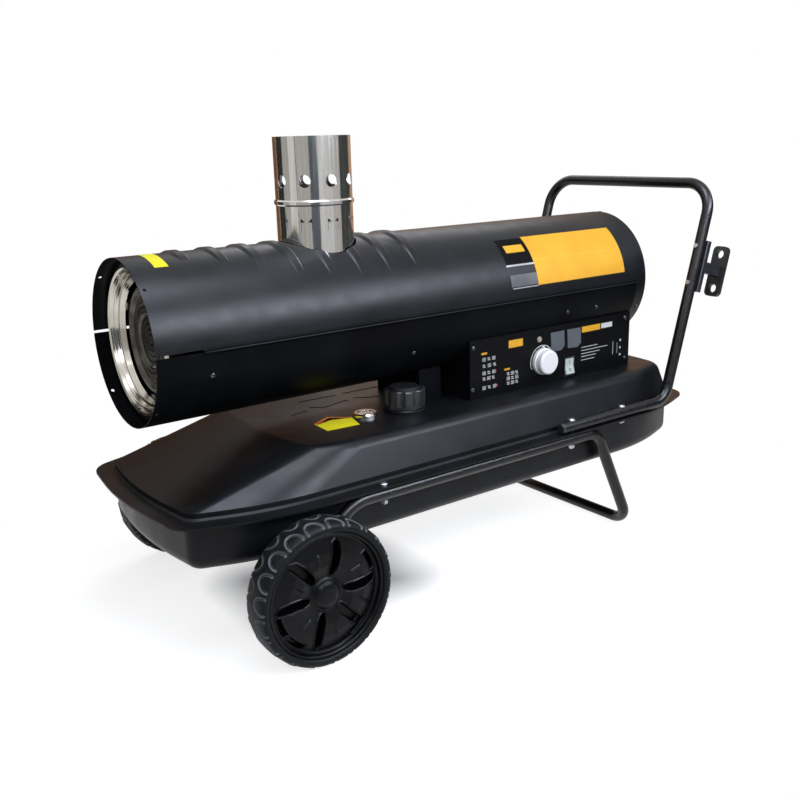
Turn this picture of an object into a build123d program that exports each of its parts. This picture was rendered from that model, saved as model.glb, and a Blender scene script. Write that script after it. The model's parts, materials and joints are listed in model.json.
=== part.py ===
from build123d import *
import math
import os

# Indirect-fired diesel heater on two wheels and a bent-tube foot.
# Millimetres. X runs from the warm-air mouth to the rear, Y across (the control panel is on the
# -Y side), Z up from the floor. The origin is on the floor under the middle of the whole heater.

# Sheet-metal screws
SCREW_R = 2.0
SCREW_FIT = 0.3           # clearance of their holes, on the radius
SCREW_HEAD_R = 4.0
SCREW_HEAD_H = 2.2

# Tank heights, from the floor
TANK_BOTTOM_Z = 140.0
TANK_RIM_Z = 217.5        # joint of the two tank shells
TANK_TOP_Z = 283.0

# Barrel
BARREL_R = 122.0          # outside radius of the casing
BARREL_LIFT = 41.0        # clear height between the tank and the casing
AXIS_Z = TANK_TOP_Z + BARREL_LIFT + BARREL_R
CASING_TOP_Z = AXIS_Z + BARREL_R
SHEET = 1.0               # casing sheet
MOUTH_X = -534.0          # front edge of the casing
REAR_X = 451.0            # rear face of the heater
COVER_L = 31.0            # length of the rear cover's skirt
COVER_X = REAR_X - COVER_L
COVER_WALL = 1.5
COVER_RINGS = (34.0, 54.0, 74.0, 94.0)    # middle radius of each ring of slots
COVER_SLOT_W = 10.0
COVER_SPOKE_W = 9.0
COVER_SCREWS = [(COVER_X + 15.0, d) for d in (85.0, 205.0, -25.0)]
LOWER_SCREWS = [(-453.0, -18.0), (-98.0, -31.0), (241.0, -18.0), (316.0, -18.0)]
MOUTH_HOLE_X = MOUTH_X + 7.0
MOUTH_HOLE_R = 2.5
SEAM_GAP = 4.0            # open slot between the two casing shells
LEDGE_X = -466.0          # where the lower shell's side ledge begins
LEDGE_W = 6.0             # how far the ledge stands out
RIB_COUNT = 8
RIB_FIRST_X = -447.0
RIB_PITCH = 53.0
RIB_W = 31.0
RIB_H = 3.2
RIB_END_DEG = 34.0        # where the long ribs run out, above the seam
RIB_END_STEP = 8.0        # each rib nearer the mouth stops this much higher
RIB_LONG = 4              # how many ribs at the rear are full length

# Flue
FLUE_X = -207.0
FLUE_R = 60.0             # outside radius, for a 120 mm chimney pipe
FLUE_WALL = 1.0
FLUE_TOP_Z = CASING_TOP_Z + 156.0
FLUE_HOLE_Z = CASING_TOP_Z + 90.4
FLUE_HOLE_R = 9.5
FLUE_HOLES = 9
FLUE_HOLE_PHASE = -94.0
FLUE_BEAD_Z = CASING_TOP_Z + 58.0
FLUE_BEAD_H = 2.4
FLUE_BEAD_W = 9.0
FLUE_TAB_TOP_Z = CASING_TOP_Z + 31.0
FLUE_TAB_W = 17.0
FLUE_TAB_H = 13.5         # length of the slits beside each tab
FLUE_SLIT = 0.6
FLUE_CLEAR = 3.0          # gap between the flue and its hole in the casing

# Outlet and heat exchanger
RING_SET = 18.0           # outlet ring's lip behind the mouth
RING_R = 107.0            # lip radius
RING_IN_R = 88.0          # clear opening of the ring
EXCH_R = 80.0             # heat exchanger drum
EXCH_WALL = 1.2
EXCH_FRONT = 38.0         # drum face behind the mouth
EXCH_REAR_X = 70.0
CHAMBER_R = 58.0          # combustion chamber inside the drum
CHAMBER_FRONT = 96.0      # chamber dome behind the mouth
CHAMBER_WALL = 2.0
COLLAR_RISE = 24.0        # flue collar above the drum
SEAT = 0.3                # clearance of curved pieces that bear on each other
STRIP_SEAT = 0.5          # clearance of the brackets' ends

# Tank
TANK_FRONT_X = -568.0
TANK_REAR_X = 542.0
TANK_HALF_W = 214.0       # half width over the rim flange
TANK_WALL = 1.5
TIP_IN = 21.0             # how much the bowed ends stand ahead of their corners
TIP_HALF_W = 166.0        # half width at those corners
TAPER_L = 154.0           # from each end to where the sides run straight
BOW_R = 700.0
SIDE_R = 400.0            # bend between the straight sides and the tapers
CORNER_R = 50.0
RIM_W = 27.0              # width of the rim flange
RIM_CORNER_R = 25.0       # corner of the walls inside the flange
RIM_FOOT = 3.0            # bevel where the hood meets the flange
HOOD_STEP = 12.0          # upright step above the rim before the hood slopes
HOOD_TOP_FRONT_X = -344.0
HOOD_TOP_REAR_X = 496.0
HOOD_TOP_HALF_W = 164.0
HOOD_TOP_TIP_W = 140.0
HOOD_TOP_TAPER_L = 85.0
HOOD_TOP_SIDE_R = 200.0
TANK_EDGE_R = 20.0        # round along the bottom and the shoulder
DRAIN_R = 8.0
DRAIN_X = 380.0
PICKUP_R = 6.0
PICKUP_X = 60.0
PICKUP_Y = 60.0

# Sunk grip pattern on the tank's top
BEAD_W = 8.0
BEAD_DEPTH = 0.9
BEAD_LINES = [
    [(-208.0, 77.0), (-142.0, 76.0)],
    [(-119.0, 76.0), (-53.0, 74.0)],
    [(-258.0, 15.0), (-233.0, 22.0)],
    [(-212.0, 36.0), (-197.0, 20.0), (-143.0, 34.0)],
    [(-122.0, 38.0), (-100.0, 23.0), (-66.0, 14.0)],
]

# Filler and gauge on the tank
FILLER_X = -98.0
FILLER_Y = -76.0
NECK_R = 26.0
NECK_WALL = 1.5
NECK_H = 24.0
COLLAR_R = 36.0
COLLAR_H = 6.0
CAP_R = 34.0
CAP_H = 30.0
CAP_LOBES = 8
GAUGE_X = -170.0
GAUGE_Y = -66.0
GAUGE_R = 19.5
GAUGE_H = 7.0
GAUGE_FACE_R = 16.0
FLOAT_REACH = 95.0        # float arm, pivot to float

# Running gear
WHEEL_X = -375.0
WHEEL_R = 108.0
WHEEL_W = 50.0
WHEEL_FACE_Y = 270.0      # outer face of each tyre
RIM_R = 93.0              # seat of the tyre
AXLE_R = 7.0
AXLE_FIT = 0.06           # running clearance of the wheel bore, on the radius
HUB_R = 21.0
WEB_BACK = 25.0           # rear of the hub's web behind the tyre's face
HUB_BOSS = 3.4            # how far the boss stands out behind the tyre
SLOT_R0 = 26.0            # slots of the hub, inner and outer end
SLOT_R1 = 83.0
HUB_SLOT_AT = (76.0, 4.0, -47.0, -104.0, -176.0, 133.0)
RIM_SLOT_AT = (20.0, -160.0)
TUBE_R = 10.0
TUBE_WALL = 1.5
TUBE_Y = 203.0            # centre of the side tubes
FOOT_X = 323.5            # centre of the foot tube
FRONT_BEND_X = -292.0     # corner where the leg frame drops to the axle
REAR_BEND_X = 230.0       # corner where it drops to the foot
HANDLE_START_X = 144.0
HANDLE_LOW_X = 414.0      # corner where the handle turns upward
HANDLE_TOP_X = 524.0
HANDLE_TOP_Z = 622.0
BEND_R = 38.0
HANDLE_TOP_R = 55.0
BOLT_R = 3.0
BOLT_FIT = 0.3
HANDLE_BOLT_X = (166.0, 294.5)
FRAME_BOLT_X = -233.0

# Control box
BOX_X0 = 16.0
BOX_X1 = 418.0
BOX_HALF_W = 108.0
BOX_SHEET = 1.2
BOX_LIP = 4.0             # what is left of the box's near wall below the panel's opening
BOX_TOP_Z = AXIS_Z - 60.0
PANEL_T = 1.5
PANEL_FIT = 0.5
PANEL_SCREWS = [(24.0, 373.0), (22.0, 300.0), (404.0, 376.0), (408.0, 297.0)]
GLAND_Y = 60.0
GLAND_Z = 305.0
GLAND_R = 8.0
CORD_R = 4.5
KNOB_X = 184.0
KNOB_Z = 326.4
KNOB_R = 24.0
KNOB_H = 20.0
KNOB_STEM_R = 4.0
DIAL_T = 1.0
LAMP_X = 177.0
LAMP_Z = 366.4
LAMP_R = 4.0
ROCKER_X = 253.5
ROCKER_Z = 305.0
ROCKER_W = 21.0           # pale rocker, across and high
ROCKER_H = 28.4
ROCKER_TIP = 7.0          # tilt of the rocker from level, each way
ROCKER_SET = 4.0          # pivot behind the panel's face
ROCKER_OUT = 8.0          # ends of the rocker ahead of its pivot
ROCKER_FIT = 0.4
ROCKER_RIM = 2.2          # frame round the rocker
PIN_R = 1.5

# Works behind the exchanger
BURNER_R = 42.0
BURNER_L = 62.0
NOZZLE_R = 8.0
ELECTRODE_R = 2.5
ELECTRODE_Y = 22.0
ELECTRODE_Z = AXIS_Z + 10.0
PHOTOCELL_R = 8.0
PHOTOCELL_Z = AXIS_Z - 26.0
PUMP_GAP = 14.0
PUMP_L = 44.0
PUMP_W = 62.0
MOTOR_R = 46.0
MOTOR_X0 = 232.0
MOTOR_L = 100.0
SHAFT_R = 6.0
FAN_TIP_GAP = 9.0
FAN_R = BARREL_R - SHEET - FAN_TIP_GAP
FAN_X = 382.0
FAN_HUB_R = 24.0
FAN_BLADES = 5
RUN_FIT = 0.06            # running clearance of shafts and stems, on the radius
FILTER_Z = TANK_TOP_Z + 20.1
LINE_R = 3.0
THIN_LINE_R = 2.4
SADDLE_X = -56.0
SADDLE_L = 46.0
SADDLE_HALF_W = 62.0

# Cable hook
HOOK_Z = 477.0
HOOK_L = 95.0
HOOK_W = 32.0
HOOK_T = 8.0
HOOK_GAP = 45.0
HOOK_HOLE_R = 8.0

NEAR, FAR = -1, 1
AXIS = Axis((0, 0, AXIS_Z), (1, 0, 0))
PARTS = []


def write(node, *pieces):
    """Write one node as a STEP file holding its separate solids."""
    solids = [s for p in pieces for s in p.solids()]
    shape = solids[0] if len(solids) == 1 else Compound(children=solids)
    export_step(shape, f"parts/{node}.step")
    PARTS.append(node)


def block(x0, x1, y0, y1, z0, z1):
    """Box between two corners."""
    centre = ((x0 + x1) / 2, (y0 + y1) / 2, (z0 + z1) / 2)
    return Pos(*centre) * Box(abs(x1 - x0), abs(y1 - y0), abs(z1 - z0))


def rod_x(r, x0, x1, y=0.0, z=AXIS_Z):
    """Cylinder along X, on the barrel's axis unless placed."""
    start = Plane((x0, y, z), x_dir=(0, 1, 0), z_dir=(1, 0, 0))
    return start * Pos(0, 0, (x1 - x0) / 2) * Cylinder(r, x1 - x0)


def rod_y(r, y0, y1, x, z):
    """Cylinder along Y."""
    start = Plane((x, y0, z), x_dir=(1, 0, 0), z_dir=(0, 1, 0))
    return start * Pos(0, 0, (y1 - y0) / 2) * Cylinder(r, y1 - y0)


def rod_z(r, z0, z1, x, y):
    """Cylinder along Z."""
    return Pos(x, y, (z0 + z1) / 2) * Cylinder(r, z1 - z0)


def pipe_x(r, wall, x0, x1):
    """Hollow cylinder along the barrel's axis."""
    return rod_x(r, x0, x1) - rod_x(r - wall, x0, x1)


def hex_z(across, z0, z1, x, y):
    """Hexagon bar along Z, measured across flats."""
    return Pos(x, y, z0) * extrude(RegularPolygon(across / math.sqrt(3), 6), z1 - z0)


def spin_x(points):
    """Solid of revolution about the barrel's axis, from (x, radius) points."""
    face = Plane.XZ * Polygon(*[(x, AXIS_Z + r) for x, r in points], align=None)
    return revolve(face, AXIS)


def bent_tube(points, radii, r=TUBE_R, wall=TUBE_WALL):
    """Round tube swept along straight runs joined by bends."""
    path = FilletPolyline(*points, radius=radii)
    start = Plane(origin=path @ 0, z_dir=path % 0)
    outer = sweep(start * Circle(r), path=path)
    if wall <= 0:
        return outer
    return outer - sweep(start * Circle(r - wall), path=path)


def screw(shank):
    """Pan-head screw standing on its shank, the seat of its head at 0; few-sided where it is hidden."""
    head = Pos(0, 0, 0.08 + SCREW_HEAD_H / 2) * Cylinder(SCREW_HEAD_R, SCREW_HEAD_H)
    return head + Pos(0, 0, -shank) * extrude(RegularPolygon(SCREW_R, 6), shank + 0.2)


def barrel_plane(x, deg, r):
    """Plane square to the casing; deg is measured from the near side up over the top."""
    a = math.radians(deg)
    out = (0, -math.cos(a), math.sin(a))
    return Plane((x, out[1] * r, AXIS_Z + out[2] * r), z_dir=out)


def radial_screw(x, deg):
    """Screw set square to the casing."""
    return barrel_plane(x, deg, BARREL_R) * screw(5.0)


def radial_hole(x, deg, r=SCREW_R + SCREW_FIT):
    """Cutter for such a screw."""
    return barrel_plane(x, deg, BARREL_R - 4) * Cylinder(r, 24)


def rib_end(index):
    """Angle above the seam where a rib runs out into the casing."""
    return RIB_END_DEG + RIB_END_STEP * max(0, RIB_COUNT - RIB_LONG - index)


def rib(index):
    """Half-hoop rib: a ring of smaller radius, raised so that it sinks into the casing at its ends."""
    x = RIB_FIRST_X + index * RIB_PITCH
    s = math.sin(math.radians(rib_end(index)))
    lift = RIB_H / (1 - s)
    r = BARREL_R - lift * s
    top = AXIS_Z + lift
    side = RIB_W / 2
    crown = side * 0.35
    foot = top + r - RIB_H - 1.3
    face = Plane.XZ * Polygon(
        (x - side, top), (x - side, foot), (x - crown, top + r),
        (x + crown, top + r), (x + side, foot), (x + side, top), align=None)
    hoop = revolve(face, Axis((0, 0, top), (1, 0, 0)))
    return hoop - rod_x(BARREL_R - 0.6 * SHEET, x - side - 1, x + side + 1)


def casing_half(upper):
    """Half of the casing tube with its share of the seam slot."""
    tube = pipe_x(BARREL_R, SHEET, MOUTH_X, COVER_X)
    tall = 2 * BARREL_R
    if upper:
        keep = block(MOUTH_X - 1, COVER_X + 1, -tall, tall, AXIS_Z + SEAM_GAP / 2, AXIS_Z + tall)
    else:
        keep = block(MOUTH_X - 1, COVER_X + 1, -tall, tall, AXIS_Z - tall, AXIS_Z - SEAM_GAP / 2)
    return tube & keep


def upper_shell():
    """Upper casing half with ribs, its side lips and the flue opening."""
    shell = casing_half(True)
    for i in range(RIB_COUNT):
        shell += rib(i) & block(MOUTH_X, COVER_X, -200, 200, AXIS_Z + SEAM_GAP, AXIS_Z + 200)
    for side in (NEAR, FAR):
        y = side * (BARREL_R - SHEET / 2)
        shell += block(LEDGE_X, COVER_X, y - SHEET / 2, y + SHEET / 2, AXIS_Z, AXIS_Z + SEAM_GAP)
    shell -= rod_z(FLUE_R + FLUE_CLEAR, AXIS_Z + 40, FLUE_TOP_Z, FLUE_X, 0)
    for x, deg in COVER_SCREWS:
        shell -= radial_hole(x, deg)
    for deg in (45.0, 135.0):
        shell -= radial_hole(MOUTH_HOLE_X, deg, MOUTH_HOLE_R)
    return shell


def lower_shell():
    """Lower casing half with the side ledge that the upper half rests on."""
    shell = casing_half(False)
    edge = BARREL_R - SHEET
    seat = AXIS_Z - SEAM_GAP / 2
    for side in (NEAR, FAR):
        lip = block(LEDGE_X, COVER_X, side * edge, side * (BARREL_R + LEDGE_W), seat - SHEET, seat)
        rise = block(LEDGE_X, COVER_X, side * edge, side * BARREL_R, seat - SHEET, AXIS_Z)
        shell += lip + rise
    for x, deg in LOWER_SCREWS:
        for angle in (deg, 180 - deg):
            shell -= radial_hole(x, angle)
    for deg in (-45.0, -135.0):
        shell -= radial_hole(MOUTH_HOLE_X, deg, MOUTH_HOLE_R)
    shell -= rod_z(LINE_R + 1.5, BOX_TOP_Z - 80, AXIS_Z - 60, pump_x0() + 22, PICKUP_Y)
    return shell


def casing_screws():
    """Screws round the casing: lower sides and rear cover."""
    out = []
    for x, deg in LOWER_SCREWS:
        out += [radial_screw(x, angle) for angle in (deg, 180 - deg)]
    return out + [radial_screw(x, deg) for x, deg in COVER_SCREWS]


def rear_cover():
    """Drawn rear cover: a skirt that continues the casing, a spigot inside it and a slotted face."""
    r, w = BARREL_R, COVER_WALL
    outside = [(COVER_X, r), (REAR_X - 7, r), (REAR_X, r - 7), (REAR_X, 0)]
    inside = [(REAR_X - w, 0), (REAR_X - w, r - 8), (REAR_X - 8, r - w), (COVER_X, r - w)]
    shell = spin_x(outside + inside)
    spigot = pipe_x(BARREL_R - SHEET - 0.2, SHEET, COVER_X - 12, COVER_X + 6)
    face_cut = Part()
    for middle in COVER_RINGS:
        face_cut += pipe_x(middle + COVER_SLOT_W / 2, COVER_SLOT_W, REAR_X - 4, REAR_X + 1)
    for i in range(3):
        face_cut -= Pos(REAR_X, 0, AXIS_Z) * Rot(60 * i, 0, 0) * Box(30, 2 * BARREL_R, COVER_SPOKE_W)
    cover = shell + spigot - face_cut
    for x, deg in COVER_SCREWS:
        cover -= radial_hole(x, deg)
    return cover


def outlet_ring():
    """Stainless outlet ring: rolled lip, two beads on a cone, and a skirt back to the casing."""
    x0 = MOUTH_X + RING_SET
    outer = BARREL_R - SHEET - SEAT
    lip = [(x0 + 22, outer), (x0 + 6, outer), (x0 + 1.5, RING_R + 3), (x0, RING_R), (x0 + 2, RING_R - 3)]
    cone = [(x0 + 7, RING_R - 5), (x0 + 6.5, RING_R - 9), (x0 + 12, RING_R - 11), (x0 + 12.5, RING_R - 15)]
    back = [(x0 + 20, RING_IN_R), (x0 + 21.2, RING_IN_R + 0.6), (x0 + 14, RING_R - 14)]
    inner = [(x0 + 13.4, RING_R - 10), (x0 + 8, RING_R - 8), (x0 + 8.4, RING_R - 4), (x0 + 3, RING_R - 1.6)]
    tail = [(x0 + 2.2, RING_R + 1), (x0 + 7, outer - 1.2), (x0 + 22, outer - 1.2)]
    return spin_x(lip + cone + back + inner + tail)


def heat_exchanger():
    """Drum with a dished front, a rear plate round the burner, and the flue collar on top."""
    x0 = MOUTH_X + EXCH_FRONT
    r = EXCH_R
    w = EXCH_WALL
    outer = spin_x([
        (x0 + 4, 0), (x0 + 4, 36), (x0 + 1, 40), (x0 + 1, 52), (x0 + 5, 58), (x0 + 5, r - 14),
        (x0, r - 8), (x0 + 1.5, r - 2), (x0 + 6, r), (EXCH_REAR_X, r), (EXCH_REAR_X, 0)])
    hollow = spin_x([(x0 + 9, 0), (x0 + 9, r - w), (EXCH_REAR_X - 2, r - w), (EXCH_REAR_X - 2, 0)])
    collar_r = FLUE_R - FLUE_WALL - SEAT
    collar_top = AXIS_Z + r + COLLAR_RISE
    collar = rod_z(collar_r, AXIS_Z, collar_top, FLUE_X, 0) - rod_x(r - w, FLUE_X - 80, FLUE_X + 80)
    drum = outer - hollow + collar
    drum -= rod_z(collar_r - w, AXIS_Z + 20, collar_top + 6, FLUE_X, 0)
    return drum - rod_x(BURNER_R + 0.3, EXCH_REAR_X - 5, EXCH_REAR_X + 1)


def combustion_chamber():
    """Closed can inside the drum, open to the burner at the rear and vented on its upper side."""
    x0 = MOUTH_X + CHAMBER_FRONT
    x1 = EXCH_REAR_X - 2
    w = CHAMBER_WALL
    r = CHAMBER_R
    dome = [(0, 0), (0, 30), (12, 50), (26, r)]
    outer = spin_x([(x0 + d, h) for d, h in dome] + [(x1, r), (x1, 0)])
    inner_dome = [(w, 0), (w, 29), (12 + w, 50 - w), (27, r - w)]
    hollow = spin_x([(x0 + d, h) for d, h in inner_dome] + [(x1 + 1, r - w), (x1 + 1, 0)])
    vents = [rod_z(9, AXIS_Z + 30, AXIS_Z + 70, x0 + 60 + 40 * i, 0) for i in range(3)]
    can = outer - hollow
    for v in vents:
        can -= v
    return can


def bracket(x, deg, length, width, r0, r1):
    """Strip standing between two radii, seated a hair clear of both."""
    strip = Pos(x, 0, AXIS_Z) * Rot(deg - 90, 0, 0) * Pos(0, 0, r1 / 2) * Box(length, width, r1)
    low, high = r0 + STRIP_SEAT, r1 - STRIP_SEAT
    return strip & (rod_x(high, x - length, x + length) - rod_x(low, x - length, x + length))


def chamber_brackets():
    """Channels that carry the drum in the casing, and the small front strips to the outlet ring."""
    out = []
    window = Pos(0, 0, (EXCH_R + BARREL_R) / 2) * Box(18, 40, BARREL_R - EXCH_R - 8)
    for x in (MOUTH_X + 150, EXCH_REAR_X - 60):
        for deg in (45, 135, 230, 310):
            placed = Pos(x, 0, AXIS_Z) * Rot(deg - 90, 0, 0) * window
            out.append(bracket(x, deg, 24, 18, EXCH_R, BARREL_R - SHEET) - placed)
    for deg in (30, 150, 270):
        out.append(bracket(MOUTH_X + RING_SET + 26, deg, 14, 12, EXCH_R, RING_IN_R))
    return out


def flue_tab(deg):
    """Cutter for one punched tab: a slit down each side and a small three-cornered hole at its top."""
    at = Pos(FLUE_X, 0, 0) * Rot(0, 0, deg)
    r0, r1, top = FLUE_R - 4, FLUE_R + 4, FLUE_TAB_TOP_Z
    cut = Part()
    for side in (-1, 1):
        y = side * FLUE_TAB_W / 2
        cut += at * block(r0, r1, y - FLUE_SLIT / 2, y + FLUE_SLIT / 2, top - FLUE_TAB_H, top)
        wedge = Polygon((y, top + 5), (y + side * 0.7, top - 1), (y - side * 6, top - 1), align=None)
        cut += at * (Pos(r0, 0, 0) * extrude(Plane.YZ * wedge, r1 - r0, dir=(1, 0, 0)))
    return cut


def flue_bead():
    """Rolled stop bead round the flue."""
    half = FLUE_BEAD_W / 2
    edge = FLUE_X + FLUE_R
    crest = edge + FLUE_BEAD_H
    low, high = FLUE_BEAD_Z - half, FLUE_BEAD_Z + half
    lower = [(FLUE_X, low), (edge, low), (crest, low + half / 2)]
    upper = [(crest, high - half / 2), (edge, high), (FLUE_X, high)]
    face = Plane.XZ * Polygon(*lower, *upper, align=None)
    return revolve(face, Axis((FLUE_X, 0, 0), (0, 0, 1)))


def flue_pipe():
    """Stainless flue: vent holes, stop bead and punched tabs; it slips over the drum's collar."""
    z0 = AXIS_Z + EXCH_R + 1.5
    pipe = rod_z(FLUE_R, z0, FLUE_TOP_Z, FLUE_X, 0) + flue_bead()
    pipe -= rod_z(FLUE_R - FLUE_WALL, z0 - 1, FLUE_TOP_Z + 1, FLUE_X, 0)
    for i in range(FLUE_HOLES):
        deg = FLUE_HOLE_PHASE + i * 360 / FLUE_HOLES
        at = Pos(FLUE_X, 0, FLUE_HOLE_Z) * Rot(0, 0, deg) * Pos(FLUE_R, 0, 0) * Rot(0, 90, 0)
        pipe -= at * Cylinder(FLUE_HOLE_R, 12)
        pipe -= flue_tab(deg)
    return pipe


def plan(front, rear, half_w, tip_in, tip_w, taper_l, corner, side):
    """Plan of the tank: bowed ends, rounded corners, tapers and straight sides."""
    near = [(front, 0), (front + tip_in, -tip_w), (front + taper_l, -half_w)]
    near += [(rear - taper_l, -half_w), (rear - tip_in, -tip_w), (rear, 0)]
    far = [(x, -y) for x, y in reversed(near[1:-1])]
    radii = [BOW_R, corner, side, side, corner] * 2
    return make_face(FilletPolyline(*near, *far, radius=radii, close=True))


def rim_plan():
    """Outer edge of the rim flange."""
    return plan(TANK_FRONT_X, TANK_REAR_X, TANK_HALF_W, TIP_IN, TIP_HALF_W, TAPER_L, CORNER_R, SIDE_R)


def wall_plan(inset):
    """Plan of the tank's walls, the same form set in from the flange's edge."""
    tip_w = TIP_HALF_W - 0.73 * inset
    taper_l = TAPER_L - 0.82 * inset
    corner = RIM_CORNER_R + RIM_W - inset
    front, rear = TANK_FRONT_X + inset, TANK_REAR_X - inset
    return plan(front, rear, TANK_HALF_W - inset, TIP_IN, tip_w, taper_l, corner, SIDE_R)


def top_plan(inset):
    """Plan of the hood's flat top."""
    tip_in = TIP_IN * HOOD_TOP_TIP_W / TIP_HALF_W
    return plan(
        HOOD_TOP_FRONT_X + inset, HOOD_TOP_REAR_X - inset, HOOD_TOP_HALF_W - inset, tip_in,
        HOOD_TOP_TIP_W - 0.73 * inset, HOOD_TOP_TAPER_L - 0.82 * inset, CORNER_R - inset, HOOD_TOP_SIDE_R)


def tank_pan(inset, floor_z, edge):
    """Filled form of the lower tank, rounded along its bottom edge."""
    body = Pos(0, 0, floor_z) * extrude(wall_plan(inset), TANK_RIM_Z - floor_z)
    return fillet(body.edges().group_by(Axis.Z)[0], edge)


def tank_lower_shell():
    """Pressed lower half: a pan with the rim flange round it."""
    outer = tank_pan(RIM_W, TANK_BOTTOM_Z, TANK_EDGE_R)
    inner = tank_pan(RIM_W + TANK_WALL, TANK_BOTTOM_Z + TANK_WALL, TANK_EDGE_R - TANK_WALL)
    rim = Pos(0, 0, TANK_RIM_Z - TANK_WALL) * extrude(rim_plan(), TANK_WALL)
    shell = (outer + rim) - inner
    shell -= rod_z(DRAIN_R + 0.3, TANK_BOTTOM_Z - 1, TANK_BOTTOM_Z + 5, DRAIN_X, 0)
    return rim_holes(shell, TANK_RIM_Z)


def tank_hood(wall, edge):
    """Filled form of the upper tank: upright step, long front slope, steep sides and rear."""
    low = wall_plan(RIM_W + wall)
    step_z = TANK_RIM_Z + HOOD_STEP
    hood = loft([Pos(0, 0, step_z) * low, Pos(0, 0, TANK_TOP_Z - wall) * top_plan(wall)], ruled=True)
    hood = fillet(hood.edges().group_by(Axis.Z)[-1], edge)
    return hood + Pos(0, 0, TANK_RIM_Z) * extrude(low, HOOD_STEP)


def grip_beads():
    """Cutters of the sunk bars on the tank's top."""
    bars = Part()
    for line in BEAD_LINES:
        for (x0, y0), (x1, y1) in zip(line, line[1:]):
            at = Pos((x0 + x1) / 2, (y0 + y1) / 2, TANK_TOP_Z - BEAD_DEPTH)
            turn = math.degrees(math.atan2(y1 - y0, x1 - x0))
            slot = SlotCenterToCenter(math.hypot(x1 - x0, y1 - y0), BEAD_W)
            bars += at * Rot(0, 0, turn) * extrude(slot, BEAD_DEPTH + 1)
    return bars


def tank_upper_shell():
    """Pressed upper half with filler, gauge and pickup openings."""
    flange_top = TANK_RIM_Z + TANK_WALL
    rim = Pos(0, 0, TANK_RIM_Z) * extrude(rim_plan(), TANK_WALL)
    bevel_low = Pos(0, 0, flange_top) * wall_plan(RIM_W - RIM_FOOT)
    bevel = loft([bevel_low, Pos(0, 0, flange_top + RIM_FOOT) * wall_plan(RIM_W)], ruled=True)
    solid = tank_hood(0.0, TANK_EDGE_R) + bevel + rim
    shell = solid - tank_hood(TANK_WALL, TANK_EDGE_R - TANK_WALL) - grip_beads()
    holes = [(NECK_R, FILLER_X, FILLER_Y), (GAUGE_FACE_R, GAUGE_X, GAUGE_Y), (PICKUP_R, PICKUP_X, PICKUP_Y)]
    for r, x, y in holes:
        shell -= rod_z(r + 0.3, TANK_TOP_Z - 20, TANK_TOP_Z + 5, x, y)
    return rim_holes(shell, TANK_RIM_Z)


def rim_holes(shell, z):
    """Bolt holes through the rim flange under the handle and over the leg frame."""
    for side in (NEAR, FAR):
        for x in (*HANDLE_BOLT_X, FRAME_BOLT_X):
            shell -= rod_z(BOLT_R + BOLT_FIT, z - 10, z + 10, x, side * TUBE_Y)
    return shell


def drain_plug():
    """Hexagon drain plug in the tank's floor."""
    plug = hex_z(22, TANK_BOTTOM_Z - 7, TANK_BOTTOM_Z, DRAIN_X, 0)
    return plug + rod_z(DRAIN_R, TANK_BOTTOM_Z, TANK_BOTTOM_Z + 8, DRAIN_X, 0)


def filler_rod(r, z0, z1):
    """Cylinder on the filler's axis."""
    return rod_z(r, z0, z1, FILLER_X, FILLER_Y)


def filler_neck():
    """Neck with the collar that stands on the tank."""
    neck = filler_rod(NECK_R, TANK_TOP_Z - 14, TANK_TOP_Z + NECK_H)
    collar = filler_rod(COLLAR_R, TANK_TOP_Z, TANK_TOP_Z + COLLAR_H)
    collar = chamfer(collar.edges().group_by(Axis.Z)[-1], 1.5)
    return neck + collar - filler_rod(NECK_R - NECK_WALL, TANK_TOP_Z - 20, TANK_TOP_Z + NECK_H + 1)


def filler_strainer():
    """Basket strainer hanging in the neck by its rim."""
    r = NECK_R - NECK_WALL - 0.4
    top = TANK_TOP_Z + NECK_H
    cup = filler_rod(r, top - 70, top) - filler_rod(r - 1, top - 69, top + 1)
    rim = filler_rod(NECK_R - 0.2, top, top + 0.8) - filler_rod(r - 1, top - 1, top + 2)
    slots = Part()
    for i in range(6):
        slots += Pos(FILLER_X, FILLER_Y, top - 42) * Rot(0, 0, 60 * i) * Pos(r, 0, 0) * Box(6, 14, 34)
    return cup + rim - slots


def cap_z0():
    """Underside of the filler cap, just over the collar."""
    return TANK_TOP_Z + COLLAR_H + 1.0


def filler_cap():
    """Moulded cap with finger lobes, hollow over the neck."""
    z0 = cap_z0()
    skirt = filler_rod(CAP_R, z0, z0 + CAP_H)
    for i in range(CAP_LOBES):
        a = 2 * math.pi * i / CAP_LOBES
        x = FILLER_X + (CAP_R + 6) * math.cos(a)
        y = FILLER_Y + (CAP_R + 6) * math.sin(a)
        skirt -= rod_z(9.5, z0 + 5, z0 + CAP_H + 1, x, y)
    skirt = chamfer(skirt.edges().group_by(Axis.Z)[-1], 1.5)
    grip = filler_rod(CAP_R - 11, z0 + CAP_H, z0 + CAP_H + 4)
    seal_top = TANK_TOP_Z + NECK_H + 4
    hollow = filler_rod(NECK_R + 0.8, z0 - 1, seal_top)
    return skirt + grip - hollow


def cap_seal():
    """Flat sealing ring held in the cap, over the mouth of the neck."""
    top = TANK_TOP_Z + NECK_H + 4
    return filler_rod(NECK_R + 0.6, top - 2, top) - filler_rod(NECK_R - 8, top - 3, top + 1)


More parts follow.
